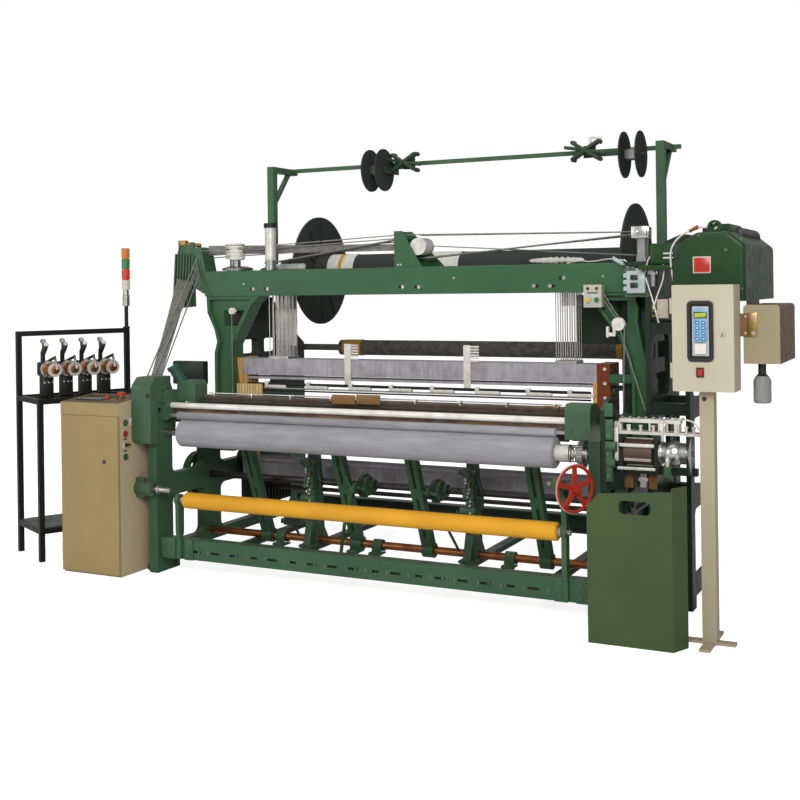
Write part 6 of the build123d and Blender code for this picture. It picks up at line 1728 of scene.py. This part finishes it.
@dataclass
class Cabinet(Assembly):
    """The free-standing cabinet beside the loom."""

    high: float = 1000.0
    row: float = -150.0
    side: float = -1478.0

    def dress(self) -> None:
        """Tan paint, coloured buttons and a brown top; the side faces get a lighter copy of the
        tan, which is painted light.
        """
        zones = [(lambda c, d=down: c.x > self.side + 0.5 and abs(c.y - self.row) < 17
                  and abs(c.z - self.high + d) < 17, kind)
                 for down, kind in ((117, GREEN_PLASTIC), (180, RED_PLASTIC),
                                    (244, BLACK_PLASTIC), (313, GREEN_PLASTIC))]
        zones.append((lambda c: c.z > self.high - 0.5, BROWN_TOP))
        # The side faces take the lighter copy of the tan: painted light
        zones.append((lambda c: c.x > self.side - 1, CABINET_LIT_SIDE))
        wear(CABINET_TAN, "cabinet", zones=zones, wide=1.2)
        wear(CABINET_TAN, "cabinet_door", zones=[(lambda c: c.y < -220.5, DARK_STEEL)], wide=1.2)
        wear(RED_PLASTIC, "emergency_stop", zones=[(lambda c: c.z < 1028, YELLOW_PLASTIC)])
        wear(BLACK_PLASTIC, "power_conduit")

    def build(self) -> None:
        """Rims round the buttons, the label, the selector and the panel on top."""
        x, y = self.side, self.row
        rims = Smith("cabinet_button_rims", BLACK_PLASTIC)
        for down in (117, 180, 313):
            rims.turned(Axis.X, (x, y, self.high - down), [(-0.5, 15.4), (-0.5, 18), (5, 18),
                                                           (5, 15.4)], 28)
        rims.block(x + 8, x + 22, y - 5, y + 24, self.high - 249, self.high - 239, 2)
        rims.block(x - 0.4, x + 0.8, y - 16, y + 12, self.high - 214, self.high - 206, 0.3)
        rims.block(x - 0.4, x + 0.8, y - 16, y + 12, self.high - 282, self.high - 274, 0.3)
        rims.block(x - 0.4, x + 1.8, -96, -46, self.high - 128, self.high - 116, 0.3)
        rims.done()
        label = Smith("cabinet_label", PAPER)
        label.block(x - 0.4, x + 1.2, -112, -30, self.high - 136, self.high - 92, 0.4)
        label.block(x - 0.4, x + 1.2, y - 22, y - 4, self.high - 256, self.high - 232, 0.4)
        label.done()
        self.top_panel()

    def top_panel(self) -> None:
        """The keyboard, knobs and red knob on the cabinet's top."""
        panel = Smith("cabinet_panel", BLACK_PLASTIC)
        panel.block(-1850, -1650, -150, -20, self.high + 7.5, self.high + 12, 1.5)
        for n in range(5):
            panel.rod((-1625 + n * 16, -40 - n * 9, self.high + 8),
                      (-1625 + n * 16, -40 - n * 9, self.high + 26), 7, 14, 2)
        panel.done()
        keys = Smith("cabinet_keys", GREY_PLASTIC)
        for row in range(3):
            for n in range(6):
                keys.block(-1838 + n * 30, -1820 + n * 30, -138 + row * 36,
                           -116 + row * 36, self.high + 11.5, self.high + 14, 1)
        keys.done()
        (Smith("cabinet_red_knob", RED_PLASTIC)
         .rod((-1640, -110, self.high + 8), (-1640, -110, self.high + 30), 14, 24, 4)
         .done())


@dataclass
class Feeders(Assembly):
    """The weft feeders on their stand, with the signal lamps."""

    corner: tuple[float, float] = (-2530.0, 96.0)
    turn: float = 62.5
    places: tuple[float, ...] = (110.0, 235.0, 360.0, 485.0)
    middle: float = -192.0
    high: float = 1163.0

    def local(self, spot: Vector) -> tuple[float, float]:
        """A machine point's place in the stand's own plan."""
        angle = math.radians(self.turn)
        dx, dy = spot.x - self.corner[0], spot.y - self.corner[1]
        return (dx * math.cos(angle) + dy * math.sin(angle),
                dy * math.cos(angle) - dx * math.sin(angle))

    def out(self, x: float, y: float, z: float) -> Point:
        """A point of the stand's own plan in machine millimetres."""
        angle = math.radians(self.turn)
        return (self.corner[0] + x * math.cos(angle) - y * math.sin(angle),
                self.corner[1] + x * math.sin(angle) + y * math.cos(angle), z)

    def dress(self) -> None:
        """Black stand and bodies, white winding discs, copper drums and coloured lamps."""
        wear(BLACK_PAINT, "feeder_stand", wide=0.8,
             zones=[(lambda c: 199 < c.z < 205, SHELF_GREEN),
                    (lambda c: 1540 < c.z < 1655, STEEL)])
        low, top = self.middle, self.high
        wear(BLACK_PLASTIC, "weft_feeders", zones=[
            (lambda c: self.local(c)[1] < low - 147 and c.z < top + 46, WHITE_METAL),
            (lambda c: low - 147 < self.local(c)[1] < low - 62 and c.z < top + 39,
             RUSTY_SHAFT),
            (lambda c: low - 63 < self.local(c)[1] < low - 38, WHITE_METAL),
            (lambda c: c.z > top + 152, STEEL)])
        wear(WHITE_PLASTIC, "signal_lamps",
             zones=[(lambda c: c.z > 1855, LAMP_AMBER), (lambda c: c.z > 1787, LAMP_GREEN),
                    (lambda c: c.z > 1718, LAMP_RED)])

    def build(self) -> None:
        """Copper hubs, discs, arms and screws on the feeders."""
        low, z = self.middle, self.high
        hubs = Smith("feeder_hubs", RUSTY_SHAFT)
        dots = Smith("feeder_dots", BLACK_PLASTIC)
        arms = Smith("feeder_arms", BLACK_PLASTIC)
        tips = Smith("feeder_tips", WHITE_METAL)
        screws = Smith("feeder_screws", STEEL)
        for x in self.places:
            hubs.rod(self.out(x, low - 158, z), self.out(x, low - 164, z), 26, 28, 2)
            dots.rod(self.out(x, low - 164, z), self.out(x, low - 168, z), 9, 20, 1)
            arms.rod(self.out(x - 30, low - 20, z + 20), self.out(x - 44, low - 60, z + 96),
                     14, 14, 3)
            arms.rod(self.out(x - 44, low - 60, z + 96), self.out(x - 30, low - 80, z + 150),
                     17, 14, 4)
            corners = [self.out(x + dx, low + dy, 0)[:2]
                       for dx, dy in ((-34, -36), (34, -36), (34, 40), (-34, 40))]
            arms.prism(Axis.Z, corners, 991, z - 30, 5)
            for n in range(3):
                tips.rod(self.out(x - 26 + n * 26, low - 36, z - 84),
                         self.out(x - 26 + n * 26, low - 41, z - 84), 6, 14, 1)
            tips.rod(self.out(x + 6, low + 60, z + 170), self.out(x + 6, low + 56, z + 170),
                     12, 20, 1)
            tips.rod(self.out(x - 30, low - 80, z + 150), self.out(x - 30, low - 90, z + 160),
                     15, 16, 3)
            for dx in (-24, 24):
                for dz in (-36, 28):
                    screws.rod(self.out(x + dx, low - 39, z + dz),
                               self.out(x + dx, low - 43, z + dz), 5, 12)
        for piece in (hubs, dots, arms, tips, screws):
            piece.done()


# The studio


@dataclass
class Studio:
    """Floor, light and the camera that stands where the photograph was taken."""

    eye: Point = (2950.0, -5500.0, 1650.0)
    lens: float = 52.6
    heading: float = 26.3
    roll: float = -0.77
    shift_up: float = -0.1418
    sky_light: float = 0.36
    sky_seen: float = 1.0
    floor_glow: float = 0.80
    lamps: tuple[tuple[str, Point, float, float], ...] = (
        ("key", (3.2, -6.5, 4.2), 3.0, 330.0), ("fill", (-4.5, -6.0, 3.0), 4.0, 110.0),
        ("top", (0.0, 0.0, 7.0), 5.0, 90.0))

    def build(self) -> None:
        """Makes the floor, lights, world and camera."""
        bpy.context.scene.view_settings.view_transform = "Standard"
        floor = bpy.data.meshes.new("floor")
        sheet = bmesh.new()
        bmesh.ops.create_grid(sheet, x_segments=1, y_segments=1, size=60.0)
        sheet.to_mesh(floor)
        sheet.free()
        ground = bpy.data.objects.new("floor", floor)
        ground.location = (0.0, 0.0, -0.002)
        floor.materials.append(self.floor_paint())
        bpy.context.scene.collection.objects.link(ground)
        self.sky()
        for lamp in self.lamps:
            self.lamp(*lamp)
        data = bpy.data.cameras.new("camera")
        data.sensor_width = 36.0
        data.lens = self.lens
        data.shift_y = self.shift_up
        data.clip_end = 200.0
        camera = bpy.data.objects.new("camera", data)
        turn = (Matrix.Rotation(math.radians(self.heading), 4, "Z")
                @ Matrix.Rotation(math.radians(90.0), 4, "X")
                @ Matrix.Rotation(math.radians(self.roll), 4, "Z"))
        camera.matrix_world = Matrix.Translation(place(*self.eye)) @ turn
        bpy.context.scene.collection.objects.link(camera)
        bpy.context.scene.camera = camera

    def sky(self) -> None:
        """A white surround that lights the machine less than it shows to the camera."""
        world = bpy.data.worlds.new("studio")
        bpy.context.scene.world = world
        world.use_nodes = True
        back = world.node_tree.nodes["Background"]
        back.inputs["Color"].default_value = (1.0, 1.0, 1.0, 1.0)
        seen = world.node_tree.nodes.new("ShaderNodeLightPath").outputs["Is Camera Ray"]
        power = world.node_tree.nodes.new("ShaderNodeMapRange")
        world.node_tree.links.new(seen, power.inputs["Value"])
        power.inputs["To Min"].default_value = self.sky_light
        power.inputs["To Max"].default_value = self.sky_seen
        world.node_tree.links.new(power.outputs[0], back.inputs["Strength"])

    def floor_paint(self) -> bpy.types.Material:
        """A plain pale floor."""
        sheet = Sheet("floor")
        sheet.colour((0.80, 0.80, 0.80))
        seen = sheet.node("LightPath").outputs["Is Camera Ray"]
        sheet.set(Roughness=0.95, Specular_IOR_Level=0.1, Emission_Color=(1.0, 1.0, 1.0, 1.0),
                  Emission_Strength=sheet.maths("MULTIPLY", seen, self.floor_glow))
        return sheet.material

    def lamp(self, name: str, where: Point, size: float, power: float) -> None:
        """Adds a soft square light aimed at the machine's middle."""
        data = bpy.data.lights.new(name, "AREA")
        data.size = size
        data.energy = power
        lamp = bpy.data.objects.new(name, data)
        lamp.location = where
        aim = Vector((0.0, 0.0, 0.9)) - Vector(where)
        lamp.rotation_euler = aim.to_track_quat("-Z", "Y").to_euler()
        bpy.context.scene.collection.objects.link(lamp)


def main() -> None:
    """Builds the studio and every sub-assembly."""
    logging.basicConfig(level=logging.INFO, format="%(message)s")
    Studio().build()
    kit = Kit()
    for kind in (BaseFrame, ClothSide, Sley, Shed, Arch, Warp, Gantry, LeftEnd, RightEnd, Dobby,
                 Controls, Cabinet, Feeders):
        kind(kit).run()


if __name__ == "__main__":
    main()
